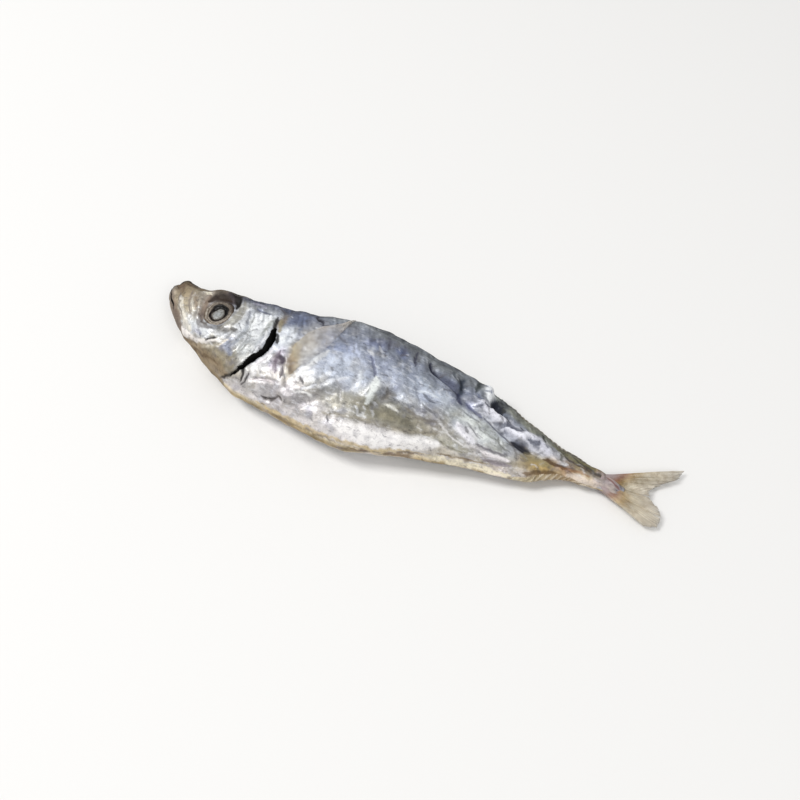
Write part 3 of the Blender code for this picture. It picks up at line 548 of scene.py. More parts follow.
def outward(x, turn):
    """Unit vectors out of the plain body."""
    step = 1e-3
    lengthwise = plain_body(x + 50 * step, turn) - plain_body(x - 50 * step, turn)
    around = plain_body(x, turn + step) - plain_body(x, turn - step)
    normal = np.cross(around, lengthwise)
    return normal / np.maximum(np.linalg.norm(normal, axis=-1, keepdims=True), 1e-9)


def turns_on(start, steps):
    """Turns over one flank, closer together where the flank is broad."""
    share = np.arange(steps) / steps
    return start + share / 2 + EVENING * np.sin(2 * np.pi * share)


def folded_fins(x, turn):
    """The second dorsal fin and the anal fin, folded down to low ridges."""
    def fin(span, edge):
        inside = ease(span[0], span[0] + 6, x) * ease(0, 8, span[1] - x)
        return FOLDED_FIN_PROUD * inside * np.exp(-(edge / FOLDED_FIN_TURN) ** 2)

    from_back = np.minimum(turn, 1 - turn)
    return fin(BACK_FIN_SPAN, from_back) + fin(ANAL_FIN_SPAN, np.abs(turn - 0.5))


def below_top(height):
    """Heights eased off near the top of the solid's box, so that the skin stays inside it."""
    start = CAD_BOX[1][2] / MM - TOP_EASING
    over = np.maximum(height - start, 0)
    return np.minimum(height, start) + over / (1 + over / (2 * TOP_EASING))


def from_edges(turn):
    """0 along the back and belly edges, rising to 1 a little way from them."""
    return ease(0, 0.04, np.minimum(np.abs(turn - 0.5), np.minimum(turn, 1 - turn)))


def skin_rise(x, turn, points):
    """How far the finished skin stands out of the plain body at these points of it, away from its slits."""
    across, edge = points[..., 1], from_edges(turn)
    rise = relief(x, across, turn < 0.5)
    ends = ease(SNOUT_X, SNOUT_X + 3, x) * ease(0, 6, STALK_END_X - x)
    rise = rise * (0.35 + 0.65 * edge) + crinkles(points) * (0.3 + 0.7 * edge)
    return rise * ends + folded_fins(x, turn) - SKIN_SINK


def flank_turn(x, y):
    """Turn of the left flank over (x, y)."""
    back, belly, crest = outline(x)
    reach = np.clip(np.where(y > crest, (y - crest) / (back - crest), (y - crest) / (crest - belly)), -1, 1)
    return np.arccos(reach) / (2 * np.pi)


def flank_point(x, y, left):
    """Point of the skin over (x, y) and the way out of it, on the left flank or the right one."""
    turn = flank_turn(x, y) if left else 1 - flank_turn(x, y)
    normal = outward(x, turn)
    return plain_body(x, turn) + normal * relief(x, y, left)[..., None], normal


def srgb(red, green, blue):
    """Linear colour of a display colour from 0 to 255."""
    value = np.array([red, green, blue]) / 255
    return np.where(value <= 0.04045, value / 12.92, ((value + 0.055) / 1.055) ** 2.4)


def graded(colours, share):
    """Colours at these shares, blended between rows of (share, display colour)."""
    stops = [stop for stop, _ in colours]
    shades = np.array([srgb(*colour) for _, colour in colours])
    return np.stack([np.interp(share, stops, channel) for channel in shades.T], -1)


# Colours from belly to back, as (share of the depth, display colour)
DEPTH_COLOURS = (
    (0, (168, 146, 106)), (0.006, (210, 194, 158)), (0.02, (214, 208, 206)), (0.22, (182, 180, 174)),
    (0.42, (182, 187, 197)), (0.6, (166, 172, 187)), (0.72, (142, 148, 161)), (0.86, (134, 138, 142)),
    (0.925, (112, 116, 120)), (0.965, (40, 43, 50)), (1, (34, 37, 44)),
)
# Washes of colour on a flank: (centre, radii, turn, display colour, strength)
WASHES = (
    # Snout and jaws
    ((-91, -2), (14, 12), 0, (174, 162, 140), 0.9),
    ((-86, 7), (16, 4.4), 0.12, (98, 86, 66), 0.95),
    ((-92.6, 1), (6.5, 4.6), -0.9, (144, 128, 102), 0.9),
    ((-97.6, 3.2), (3.4, 3), 0, (104, 86, 68), 0.9),
    ((-88, -7), (7.5, 3), -0.85, (176, 164, 140), 0.8),
    ((-90.6, -8.6), (9, 1.5), -0.78, (138, 116, 100), 0.85),
    ((-83.6, 2.6), (2.2, 1.6), 0, (226, 216, 198), 0.85),
    ((-81, -2.6), (2, 5.4), 0.25, (146, 124, 106), 0.6),
    ((-79.5, -12), (8, 3.4), -0.35, (226, 230, 234), 0.85),
    ((-78.4, -12.6), (1.6, 1.1), 0, (154, 156, 170), 0.5),
    ((-71.5, -14.2), (1.6, 0.8), 0.4, (60, 52, 48), 0.7),
    ((-69.5, -18.8), (14, 3.4), -0.27, (122, 110, 86), 0.92),
    # Round the eye and over the head
    ((-79, 7), (6, 2.8), 0.1, (90, 74, 56), 0.85),
    ((-73.4, 5.8), (5, 3.6), -0.5, (50, 39, 31), 0.95),
    ((-76.8, 2.8), (5.4, 2.6), 0.1, (60, 46, 36), 0.92),
    ((-67.2, -4), (3.4, 8), 0, (200, 196, 182), 0.75),
    ((-60, 7.8), (14, 4), 0.08, (64, 69, 90), 0.94),
    ((-45, 5.4), (8.5, 6), 0.15, (96, 106, 136), 0.75),
    # Gill cover and chest
    ((-58, -4.5), (7.5, 8.5), 0, (248, 250, 249), 0.95),
    ((-57.6, -13.6), (5, 5.4), 0, (190, 192, 190), 0.8),
    ((-63.4, -18.6), (7, 4.4), -0.5, (136, 126, 102), 0.9),
    ((-63.4, -13.4), (3, 3.2), 0, (150, 154, 170), 0.6),
    ((-51.2, 0.6), (1.5, 4.6), 0.25, (150, 132, 108), 0.8),
    ((-46, -5.4), (3.6, 5), 0.1, (244, 247, 248), 0.9),
    ((-53.4, -4.5), (1.7, 3.6), 0.1, (112, 116, 106), 0.75),
    ((-46, -19), (8, 7), 0, (196, 194, 193), 0.7),
    ((-35, -22.4), (13, 4.6), 0, (180, 175, 177), 0.75),
    ((-43.6, -13.4), (2.6, 4.4), 0.2, (170, 154, 166), 0.7),
    ((-39.4, -11), (2.2, 6.6), 0.2, (180, 162, 124), 0.8),
    # Trunk
    ((-36, -5), (3.6, 12), 0.3, (206, 202, 194), 0.6),
    ((-16.6, 7), (3.6, 3), 0.3, (102, 110, 142), 0.65),
    ((-8, 8), (3.2, 2.6), 0, (108, 120, 160), 0.7),
    ((-26, 8), (7, 3.6), 0, (132, 136, 150), 0.6),
    ((-12.4, 9.6), (2.8, 3), 0, (84, 84, 96), 0.6),
    ((-27, -1.6), (5.4, 2.2), 0, (146, 157, 188), 0.65),
    ((-22, -8), (12, 5.6), 0.1, (196, 204, 218), 0.7),
    ((-24, -8.8), (4.6, 2.2), 0.6, (166, 172, 184), 0.5),
    ((-12, -3), (7, 3.4), -0.2, (190, 198, 216), 0.7),
    ((6, -1), (10, 4.4), -0.1, (196, 205, 216), 0.7),
    ((9.4, 6), (6, 1.3), -0.15, (90, 96, 118), 0.7),
    ((15.6, 6.4), (2, 6), 0.25, (74, 80, 92), 0.8),
    ((21, 1.6), (2.4, 1.8), 0, (112, 120, 168), 0.75),
    ((-2, -15.2), (19, 4.8), 0.12, (128, 123, 102), 0.9),
    ((-19, -18.4), (9, 3.2), 0.1, (164, 160, 148), 0.6),
    ((-4.8, -9.6), (1.6, 3), 0, (118, 113, 106), 0.6),
    ((-10, -9), (1.8, 4.2), -0.1, (238, 240, 234), 0.8),
    ((8, -3.4), (5, 2.2), 0, (206, 214, 232), 0.6),
    ((13, -9.6), (6.6, 4.6), 0.2, (160, 152, 140), 0.6),
    ((-3, -23.2), (15, 2.6), 0.24, (236, 232, 230), 0.9),
    # Tail end
    ((42, 6.8), (17, 2.6), -0.27, (132, 133, 118), 0.92),
    ((38, 1.2), (18, 2.8), -0.08, (206, 206, 214), 0.85),
    ((24, 4), (4, 3.6), 0, (200, 202, 212), 0.7),
    ((28.9, 7.7), (3.4, 4), 0.1, (66, 76, 100), 0.9),
    # painted shadow under the band of scutes
    ((41, -3), (4, 1.5), -0.1, (52, 54, 70), 0.9),
    ((26, -4.4), (11, 4), -0.1, (222, 226, 220), 0.9),
    ((23.6, -7.4), (4, 2.2), 0.1, (238, 236, 240), 0.85),
    ((31, -10.6), (8, 1.8), 0.2, (214, 208, 214), 0.7),
    ((22, -13.4), (9, 1.6), 0.28, (168, 166, 148), 0.7),
    ((30, -3.4), (3.4, 1.4), -0.2, (146, 150, 148), 0.7),
    ((36, -5.8), (3, 1.6), 0.3, (160, 160, 150), 0.6),
    ((17, -4), (2.2, 3.2), 0.4, (158, 162, 160), 0.6),
    ((50, -5), (9, 4), 0.3, (178, 150, 88), 0.92),
    ((58, -1), (5.6, 1.5), 0.15, (158, 120, 78), 0.75),
    ((64, 1.8), (9, 2.6), 0, (126, 106, 62), 0.92),
    ((72.5, 0.6), (4.4, 2.2), -0.2, (172, 154, 150), 0.8),
    ((64, 4.4), (10, 1.2), -0.08, (94, 88, 72), 0.8),
    ((64.6, -1.2), (4.4, 0.9), 0.05, (208, 188, 156), 0.75),
    ((36.6, -12.6), (5.4, 1.7), 0.32, (168, 156, 158), 0.75),
    ((35.6, -14.2), (6, 0.7), 0.32, (236, 226, 214), 0.8),
    ((25, -15.8), (17, 1.3), 0.3, (208, 198, 174), 0.6),
)
# What the skin takes up in patches, and the scutes' pale tops with painted highlight and the painted shade in
# the gaps between them: (strength, display colour)
COOL_MOTTLE = (0.26, (130, 137, 172))
WARM_MOTTLE = (0.28, (168, 158, 134))
CRACKS = (0.34, (86, 82, 82))
SCUTE_TOPS_PALE_AND_HIGHLIT = (0.95, (240, 240, 247))
SCUTE_GAP_PAINTED_SHADE = (0.85, (84, 88, 102))
NICK_COLOURS = ((92, 90, 94), (244, 246, 250))  # dark and light
NICK_COUNT = 170


def streaks(x, y, length, width, turn):
    """Noise drawn out into streaks of this length and width, turned from the fish's length."""
    along_it = (x * np.cos(turn) + y * np.sin(turn)) / length
    across_it = (y * np.cos(turn) - x * np.sin(turn)) / width
    return cloud(np.stack([along_it, across_it, 0 * x], -1), 1.0, 2)


def blend(tint, amount, colour):
    """Tint mixed toward a display colour by the amount."""
    return tint + (srgb(*colour) - tint) * amount[..., None]


def scatter_nicks(count):
    """Short scratches and flecks scattered over the flanks, lengthwise or slanted as they fall."""
    draw = np.random.default_rng(3)
    marks = []
    for _ in range(count):
        x = draw.uniform(-92, 68)
        share = draw.uniform(0.12, 0.86)
        y = curve(BELLY, x) + share * (curve(BACK, x) - curve(BELLY, x))
        slant = draw.choice((-1.0, -0.25, 0.6)) + draw.normal(0, 0.3)
        reach = draw.uniform(0.5, 1.6)
        bend = draw.normal(0, 0.35)
        ends = (reach * np.cos(slant), reach * np.sin(slant))
        path = ((x - ends[0], y - ends[1]), (x + bend, y + bend), (x + ends[0], y + ends[1]))
        dark = draw.random() < 0.6
        colour = NICK_COLOURS[0 if dark else 1]
        marks.append((path, draw.uniform(0.25, 0.45), 0.0, colour, draw.uniform(0.25, 0.7 if dark else 0.45)))
    return marks


NICKS = scatter_nicks(NICK_COUNT)


def skin_tint(points, left):
    """Colours of the skin: depth from belly to back, washes, mottling, fine cracks, the scutes' pale tops
    with painted highlight and painted shade between them, and named marks, some of them painted highlights
    and shade.
    """
    bent = points + np.stack([cloud(points + shift, 3.6, 3) for shift in (5, 52, 91)], -1)
    x, y = bent[..., 0], bent[..., 1]
    flat_x, flat_y = points[..., 0], points[..., 1]
    back, belly = curve(BACK, flat_x), curve(BELLY, flat_x)
    share = (flat_y - belly) / (back - belly)
    ragged = share + 0.06 * cloud(points + 60, 6.0, 3) * ease(0, 0.3, share) * ease(0, 0.08, 1 - share)
    tint = graded(DEPTH_COLOURS, ragged)
    for centre, radii, turn, colour, strength in WASHES:
        tint = blend(tint, bowl(centre, radii, turn, strength, x, y), colour)
    cool = cloud(points + 13, 3.2, 3)
    calm = 1 - 0.55 * ease(0.45, 0.85, tint.max(-1))
    mottled = calm * (1 - 0.8 * ease(0.62, 0.9, share))
    cooled = COOL_MOTTLE[0] * mottled * ease(0.1, 0.9, cool) * ease(-76, -62, flat_x)
    tint = blend(tint, cooled, COOL_MOTTLE[1])
    tint = blend(tint, WARM_MOTTLE[0] * mottled * ease(0.1, 0.9, -cool), WARM_MOTTLE[1])
    uneven = 0.26 * cloud(points + 71, 4.0, 3) + 0.16 * cloud(points + 23, 1.1, 2)
    tint = tint * np.exp(calm * uneven)[..., None]
    upper = ease(0.5, 0.75, share) * ease(-86, -70, flat_x)
    tint = tint * np.exp(0.42 * upper * streaks(flat_x, flat_y, 4.2, 0.8, -1.05))[..., None]
    crack = 1 - ease(0.0, 0.07, np.abs(noise(bent * (0.8, 1, 1), 4.4)))
    tint = blend(tint, CRACKS[0] * crack * ease(-0.2, 0.6, noise(points + 40, 9.0)), CRACKS[1])
    inside, tooth = scutes(flat_x + 0.5 * noise(points, 1.5), flat_y + 0.5 * noise(points + 7, 1.5))
    # the tops of the scutes, pale skin with painted highlight; then painted shade in the gaps between them
    tint = blend(tint, SCUTE_TOPS_PALE_AND_HIGHLIT[0] * inside * ease(0.25, 0.7, tooth), SCUTE_TOPS_PALE_AND_HIGHLIT[1])
    tint = blend(tint, SCUTE_GAP_PAINTED_SHADE[0] * inside * ease(0.38, 0.1, tooth), SCUTE_GAP_PAINTED_SHADE[1])
    edge = 0.35 * np.stack([cloud(points + shift, 1.4, 2) for shift in (17, 64)], -1)
    for marks, where in ((NICKS, 1), (HEAD_MARKS, 1), (LEFT_MARKS, left)):
        for path, half_width, _, colour, strength in marks:
            apart, _, along_it = near(path, flat_x + edge[..., 0], flat_y + edge[..., 1], 3 * half_width)
            taper = np.clip(4 * np.minimum(along_it, 1 - along_it) + 0.35, 0, 1)
            amount = strength * ease(1.45, 0.45, apart / (half_width * taper)) * where
            tint = blend(tint, amount, colour)
    return tint


def place(points):
    """Millimetres in the fish's frame to metres in the row's frame."""
    return (np.reshape(points, (-1, 3)) - (*BOX_CENTRE, 0)) * MM


def mesh_object(name, points, faces, material):
    """Smooth mesh piece that rides on the fish's body and takes the place of its solid."""
    mesh = bpy.data.meshes.new(name)
    mesh.from_pydata(place(points).tolist(), [], faces)
    work = bmesh.new()
    work.from_mesh(mesh)
    bmesh.ops.recalc_face_normals(work, faces=work.faces)
    work.to_mesh(mesh)
    work.free()
    mesh.shade_smooth()
    mesh.materials.append(material)
    piece = bpy.data.objects.new(name, mesh)
    bpy.context.scene.collection.objects.link(piece)
    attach(piece, BODY)
    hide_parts(NODE)
    return piece


def give_values(piece, name, values):
    """Stores one number for each point of the mesh, for its material to read."""
    layer = piece.data.attributes.new(name, "FLOAT", "POINT")
    layer.data.foreach_set("value", np.ravel(values).astype(np.float32))


def give_colours(piece, name, colours):
    """Stores one colour for each point of the mesh, for its material to read."""
    layer = piece.data.attributes.new(name, "FLOAT_COLOR", "POINT")
    flat = np.reshape(colours, (-1, 3))
    layer.data.foreach_set("color", np.column_stack([flat, np.ones(len(flat))]).ravel().astype(np.float32))


def loft_faces(rings, sides):
    """Quads between closed rings of points, with a face over each end."""
    index = np.arange(rings * sides).reshape(rings, sides)
    beside = np.roll(index, -1, axis=1)
    quads = np.stack([index[:-1], beside[:-1], beside[1:], index[1:]], -1).reshape(-1, 4)
    return quads.tolist() + [index[0].tolist(), index[-1].tolist()]


def slab_faces(rows, columns):
    """Faces of a closed solid between two grids of points with the same rows and columns."""
    index = np.arange(rows * columns).reshape(rows, columns)
    corners = np.stack([index[:-1, :-1], index[:-1, 1:], index[1:, 1:], index[1:, :-1]], -1).reshape(-1, 4)
    rim = np.concatenate([index[0], index[1:, -1], index[-1, -2::-1], index[-2:0:-1, 0]])
    after = np.roll(rim, -1)
    count = rows * columns
    walls = np.stack([rim, after, count + after, count + rim], -1)
    return corners.tolist() + (corners[:, ::-1] + count).tolist() + walls.tolist()


def shares(rows, columns):
    """Grid of the shares 0 to 1 down a fin's length and over its width."""
    return np.meshgrid(np.linspace(0, 1, rows), np.linspace(0, 1, columns), indexing="ij")


class Shader:
    """Short hand for building one material's nodes."""

    def __init__(self, name):
        self.material = bpy.data.materials.new(name)
        self.material.use_nodes = True
        self.tree = self.material.node_tree
        self.surface = self.tree.nodes["Principled BSDF"]
        place_in = self.node("ShaderNodeTexCoord").outputs["Object"]
        self.millimetres = self.vector("SCALE", place_in, 1 / MM)

    def node(self, kind, **settings):
        """New node with these settings."""
        made = self.tree.nodes.new(kind)
        for key, value in settings.items():
            setattr(made, key, value)
        return made

    def feed(self, socket, value):
        """Links a socket to another one, or sets its value."""
        if isinstance(value, bpy.types.NodeSocket):
            self.tree.links.new(value, socket)
        else:
            socket.default_value = value

    def vector(self, operation, source, scale):
        """Vector scaled by a number."""
        made = self.node("ShaderNodeVectorMath", operation=operation)
        self.feed(made.inputs[0], source)
        self.feed(made.inputs["Scale"], scale)
        return made.outputs["Vector"]

    def stretched(self, factors):
        """Place in millimetres, multiplied axis by axis."""
        made = self.node("ShaderNodeVectorMath", operation="MULTIPLY")
        self.feed(made.inputs[0], self.millimetres)
        self.feed(made.inputs[1], factors)
        return made.outputs["Vector"]

    def noise(self, size, detail, roughness=0.55, stretch=None):
        """Cloudy values from 0 to 1 with features of this size."""
        made = self.node("ShaderNodeTexNoise")
        self.feed(made.inputs["Vector"], self.stretched(stretch) if stretch else self.millimetres)
        self.feed(made.inputs["Scale"], 1 / size)
        self.feed(made.inputs["Detail"], detail)
        self.feed(made.inputs["Roughness"], roughness)
        return made.outputs["Fac"]

    def cells(self, size, stretch):
        """Distance to the middle of the nearest of many small cells."""
        made = self.node("ShaderNodeTexVoronoi")
        self.feed(made.inputs["Vector"], self.stretched(stretch))
        self.feed(made.inputs["Scale"], 1 / size)
        return made.outputs["Distance"]

    def remap(self, value, low, high, to_low=0.0, to_high=1.0):
        """Smooth change from one range of values to another."""
        made = self.node("ShaderNodeMapRange", interpolation_type="SMOOTHSTEP")
        for name, given in zip(("Value", "From Min", "From Max", "To Min", "To Max"),
                               (value, low, high, to_low, to_high)):
            self.feed(made.inputs[name], given)
        return made.outputs["Result"]

    def math(self, operation, first, second):
        """Two numbers combined."""
        made = self.node("ShaderNodeMath", operation=operation)
        self.feed(made.inputs[0], first)
        self.feed(made.inputs[1], second)
        return made.outputs["Value"]

    def mix(self, amount, first, second, blend="MIX"):
        """Two colours mixed."""
        made = self.node("ShaderNodeMix", data_type="RGBA", blend_type=blend)
        self.feed(made.inputs["Factor"], amount)
        self.feed(made.inputs["A"], first)
        self.feed(made.inputs["B"], second)
        return made.outputs["Result"]

    def attribute(self, name, output="Fac"):
        """What is stored on the mesh under this name."""
        return self.node("ShaderNodeAttribute", attribute_name=name).outputs[output]

    def bump(self, height, distance, strength, under=None):
        """Normals of a relief, over another one if that is given."""
        made = self.node("ShaderNodeBump")
        self.feed(made.inputs["Height"], height)
        self.feed(made.inputs["Distance"], distance * MM)
        self.feed(made.inputs["Strength"], strength)
        if under is not None:
            self.feed(made.inputs["Normal"], under)
        return made.outputs["Normal"]

    def set(self, **sockets):
        """Feeds the sockets of the surface, their names written with underscores."""
        for name, value in sockets.items():
            self.feed(self.surface.inputs[name.replace("_", " ")], value)


def rgba(red, green, blue):
    """Display colour from 0 to 255 as a shader's linear colour."""
    return (*srgb(red, green, blue).tolist(), 1.0)


def skin_material():
    """Silver skin dried over flesh: mottled, flecked, crinkled and partly metallic, with painted glints and
    painted shade in its slits.
    """
    s = Shader("dried_skin")
    tint = s.attribute("tint", "Color")
    # painted shade: the gill slit and the mouth slit turn near-black from just outside their walls
    slit_painted_shade = s.remap(s.attribute("gape"), *SLIT_LIP)
    shine = s.attribute("shine")
    patches = s.noise(2.4, 5.0, 0.65)
    grain = s.noise(0.5, 3.0, 0.6)
    streaky = s.noise(1.1, 4.0, 0.65, stretch=(0.4, 1.0, 1.0))
    colour = s.mix(s.remap(patches, 0.4, 0.7, 0.0, 0.55), tint, rgba(176, 176, 182), "MULTIPLY")
    colour = s.mix(s.remap(streaky, 0.56, 0.70, 0.0, 0.6), colour, rgba(146, 144, 150), "MULTIPLY")
    colour = s.mix(s.remap(grain, 0.56, 0.72, 0.0, 0.45), colour, rgba(164, 158, 154), "MULTIPLY")
    # painted highlights: near-white glints mixed into the colour where the skin is silvery
    painted_glints = s.math("MULTIPLY", s.remap(streaky, 0.47, 0.36), s.remap(shine, 0.1, 0.45, 0.0, 0.34))
    colour = s.mix(painted_glints, colour, rgba(246, 248, 252))
    colour = s.mix(slit_painted_shade, colour, rgba(9, 7, 6))
    rough = s.remap(patches, 0.3, 0.7, 0.33, 0.5)
    rough = s.math("ADD", rough, s.remap(shine, 0.0, 0.5, 0.2, 0.0))
    rough = s.math("ADD", rough, s.math("MULTIPLY", slit_painted_shade, 0.4))
    metal = s.math("MULTIPLY", shine, s.remap(slit_painted_shade, 0.0, 0.4, 1.0, 0.0))
    scales = s.bump(s.cells(1.15, stretch=(0.8, 1.0, 1.0)), 0.07, 0.5)
    grainy = s.bump(grain, 0.12, 0.5, scales)
    crumple = s.bump(patches, 0.32, 0.6, grainy)
    s.set(Base_Color=colour, Roughness=rough, Metallic=metal, Normal=crumple, Specular_IOR_Level=SPECULAR)
    return s.material


def fin_material():
    """Dry fin membrane, a little see-through between its rays."""
    s = Shader("dried_fin")
    tint = s.attribute("tint", "Color")
    ray = s.attribute("ray")
    patches = s.noise(1.8, 4.0)
    colour = s.mix(s.remap(patches, 0.35, 0.65, 0.0, 0.6), tint, rgba(204, 194, 182), "MULTIPLY")
    colour = s.mix(s.remap(s.noise(0.45, 2.0), 0.55, 0.75, 0.0, 0.4), colour, rgba(170, 154, 138), "MULTIPLY")
    s.set(Base_Color=colour, Roughness=s.remap(patches, 0.3, 0.7, 0.34, 0.55))
    s.set(Normal=s.bump(s.noise(0.4, 3.0), 0.12, 0.5))
    s.set(Alpha=s.remap(ray, 0.0, 1.0, 0.15, 1.0))
    return s.material


def eye_material():
    """Dried eye: brown and beige rings, a black crescent and a dull grey lens."""
    s = Shader("dried_eye")
    tint = s.attribute("tint", "Color")
    patches = s.noise(0.8, 4.0)
    colour = s.mix(s.remap(patches, 0.4, 0.65, 0.0, 0.6), tint, rgba(140, 128, 118), "MULTIPLY")
    s.set(Base_Color=colour, Roughness=s.remap(s.attribute("lens"), 0.0, 1.0, 0.4, 0.22))
    s.set(Normal=s.bump(patches, 0.2, 0.6), Specular_IOR_Level=SPECULAR)
    return s.material


def make_body(material):
    """Head, trunk and tail stalk as one fine skin."""
    stations = np.concatenate([np.linspace(a, b, n, endpoint=False) for a, b, n in STATION_SPANS])
    stations = np.append(stations, STALK_END_X)
    turns = np.concatenate([turns_on(0, LEFT_STEPS), turns_on(0.5, RIGHT_STEPS)])
    x, turn = np.meshgrid(stations, turns, indexing="ij")
    points = plain_body(x, turn)
    normal = outward(x, turn)
    across = points[..., 1].copy()
    left = (turn > 0) & (turn < 0.5)
    edge = from_edges(turn)
    tint = skin_tint(points, left)
    gape = np.zeros_like(x)
    lean = np.zeros_like(points)
    frayed = FRAYING * np.stack([cloud(points + shift, 2.2, 2) for shift in (29, 83)], -1)
    for slit in (GILL_SLIT, MOUTH_SLIT):
        gape_here = slit_gape(slit, x + frayed[..., 0], across + frayed[..., 1])
        gape = np.maximum(gape, gape_here)
        lean += (ease(*SLIT_WALL, gape_here) * edge)[..., None] * (-slit[2] * normal - (slit[3], 0, 0))
    hole = left * bowl(*TORN_SKIN[0][:3], 1.0, x + frayed[..., 0], across + frayed[..., 1])
    tint = blend(tint, HOLE_DARK * ease(*HOLE_RIM, hole), HOLE_COLOUR)
    under_eye = ease(*EYE_RIM, np.hypot(x - EYE_SPOT[0], across - EYE_SPOT[1]) / EYE_RADIUS)
    rise = skin_rise(x, turn, points) - EYE_HOLLOW * under_eye
    points = points + normal * rise[..., None] + lean
    points[..., 2] = np.maximum(below_top(points[..., 2]), SKIN_LOWEST)
    piece = mesh_object("scad_skin", points, loft_faces(len(stations), len(turns)), material)
    light, dark = tint.max(-1), tint.min(-1)
    shine = ease(0.06, 0.5, light) * (1 - ease(0.2, 0.6, (light - dark) / light)) * SKIN_METAL
    shine *= 1 - 0.75 * ease(0.5, 0.85, light)
    give_colours(piece, "tint", tint)
    give_values(piece, "gape", gape)
    give_values(piece, "shine", shine)


EYE_PROFILE = (  # from the root in the socket, over the rim, to the middle: (share of the radius, height)
    (1.16, -1.6), (1.08, -0.5), (1, 0.1), (0.93, 0.3), (0.85, 0.25), (0.78, 0), (0.7, 0.1),
    (0.64, 0.15), (0.58, -0.2), (0.52, -0.3), (0.46, 0), (0.34, 0.3), (0, 0.45),
)
EYE_COLOURS = (  # (share of the radius, display colour)
    (0, (160, 164, 164)), (0.34, (150, 151, 148)), (0.45, (106, 100, 92)), (0.5, (26, 20, 17)),
    (0.62, (30, 23, 20)), (0.67, (96, 85, 74)), (0.73, (164, 156, 144)), (0.8, (112, 99, 86)),
    (0.88, (174, 167, 155)), (0.97, (126, 112, 97)), (1.06, (40, 31, 25)),
)
LENS_SHIFT = (0.06, -0.1)  # of the eye's radius
LENS_SHARE = 0.47
EYE_WOBBLE = 0.075  # how far the rings wander, by share of the radius
# What lies over the rings, the black crescent and the painted shadow of the socket's upper rim: (strength,
# display colour)
CRESCENT = (0.97, (10, 8, 7))
SOCKET_PAINTED_SHADOW = (0.75, (56, 44, 36))


def make_eye(name, left, material):
    """The sunken eye of one side: rings of the iris round a dried lens."""
    rings, sides = 72, 120
    out = np.linspace(0, 1, rings)[:, None]
    angle = (2 * np.pi * np.arange(sides) / sides)[None, :]
    knots = np.array(EYE_PROFILE)
    steps = np.linspace(0, 1, len(knots))
    reach = np.maximum(curve(np.column_stack([steps, knots[:, 0]]), out), 0.004) + 0 * angle
    centre, normal = flank_point(np.array([EYE_SPOT[0]]), np.array([EYE_SPOT[1]]), left)
    centre, normal = centre[0], normal[0]
    side = np.cross(normal, (0, 1, 0))
    side *= np.sign(side[0]) / np.linalg.norm(side)
    upward = np.cross(side, normal)
    upward *= np.sign(upward[1])
    inner = ease(0.9, 0.3, reach)
    flat = np.stack([reach * np.cos(angle) + LENS_SHIFT[0] * inner,
                     reach * np.sin(angle) + LENS_SHIFT[1] * inner, 0 * reach], -1) * EYE_RADIUS
    wobble = reach + EYE_WOBBLE * cloud(flat + 2.0, 2.6, 3)
    height = curve(knots[::-1], wobble)
    height += 0.15 * cloud(flat + 12.3, 1.6, 3) * ease(0.2, 0.6, reach)
    points = centre + flat[..., :1] * side + flat[..., 1:2] * upward + height[..., None] * normal
    points[..., 2] = np.maximum(points[..., 2], EYE_LOWEST)
    piece = mesh_object(name, points, loft_faces(rings, sides), material)
    tint = graded(EYE_COLOURS, wobble)
    lift = np.sin(angle) + 0.25 * np.cos(angle)
    crescent = ease(-0.2, 0.5, lift) * ease(0.40, 0.46, wobble) * ease(0.80, 0.70, wobble)
    tint = blend(tint, CRESCENT[0] * crescent, CRESCENT[1])
    # painted shadow of the socket's upper rim, over the outer rings
    shade = ease(0.1, 0.8, lift) * ease(0.76, 0.90, wobble)
    tint = blend(tint, SOCKET_PAINTED_SHADOW[0] * shade, SOCKET_PAINTED_SHADOW[1])
    give_colours(piece, "tint", tint)
    give_values(piece, "lens", ease(LENS_SHARE + 0.05, LENS_SHARE - 0.05, wobble))


FIN_COLOURS = (  # (share from root to edge, display colour)
    (0, (172, 158, 160)), (0.18, (168, 150, 148)), (0.29, (154, 106, 84)), (0.42, (208, 178, 122)),
    (0.58, (220, 208, 180)), (1, (216, 208, 192)),
)
RAY_COLOUR = (236, 230, 216)
BETWEEN_RAYS = (112, 92, 66)


def ribs(phase, sharpness=1.5):
    """Height from 0 to 1 of a fin's rays, one to each whole number of the phase."""
    return (0.5 + 0.5 * np.cos(2 * np.pi * phase)) ** sharpness


def fin_tint(down, ray, colours, darker):
    """Colours of a fin from its root to its edge, lighter on the rays and darker between some of them."""
    tint = blend(graded(colours, down), 0.55 * ray * ease(0.1, 0.4, down), RAY_COLOUR)
    return blend(tint, darker * (1 - ray) * ease(0.05, 0.3, down), BETWEEN_RAYS)


TAIL_BUNDLES = 9
RAYS_IN_BUNDLE = 5
TAIL_HALF_THICK = (2.5, 0.14)  # at the root and at the edge


def blade(surface, normal, rise, thick):
    """Upper and lower points of a thin membrane that stands this high over a surface."""
    return np.array([surface + normal * rise[..., None], surface + normal * (rise - thick)[..., None]])


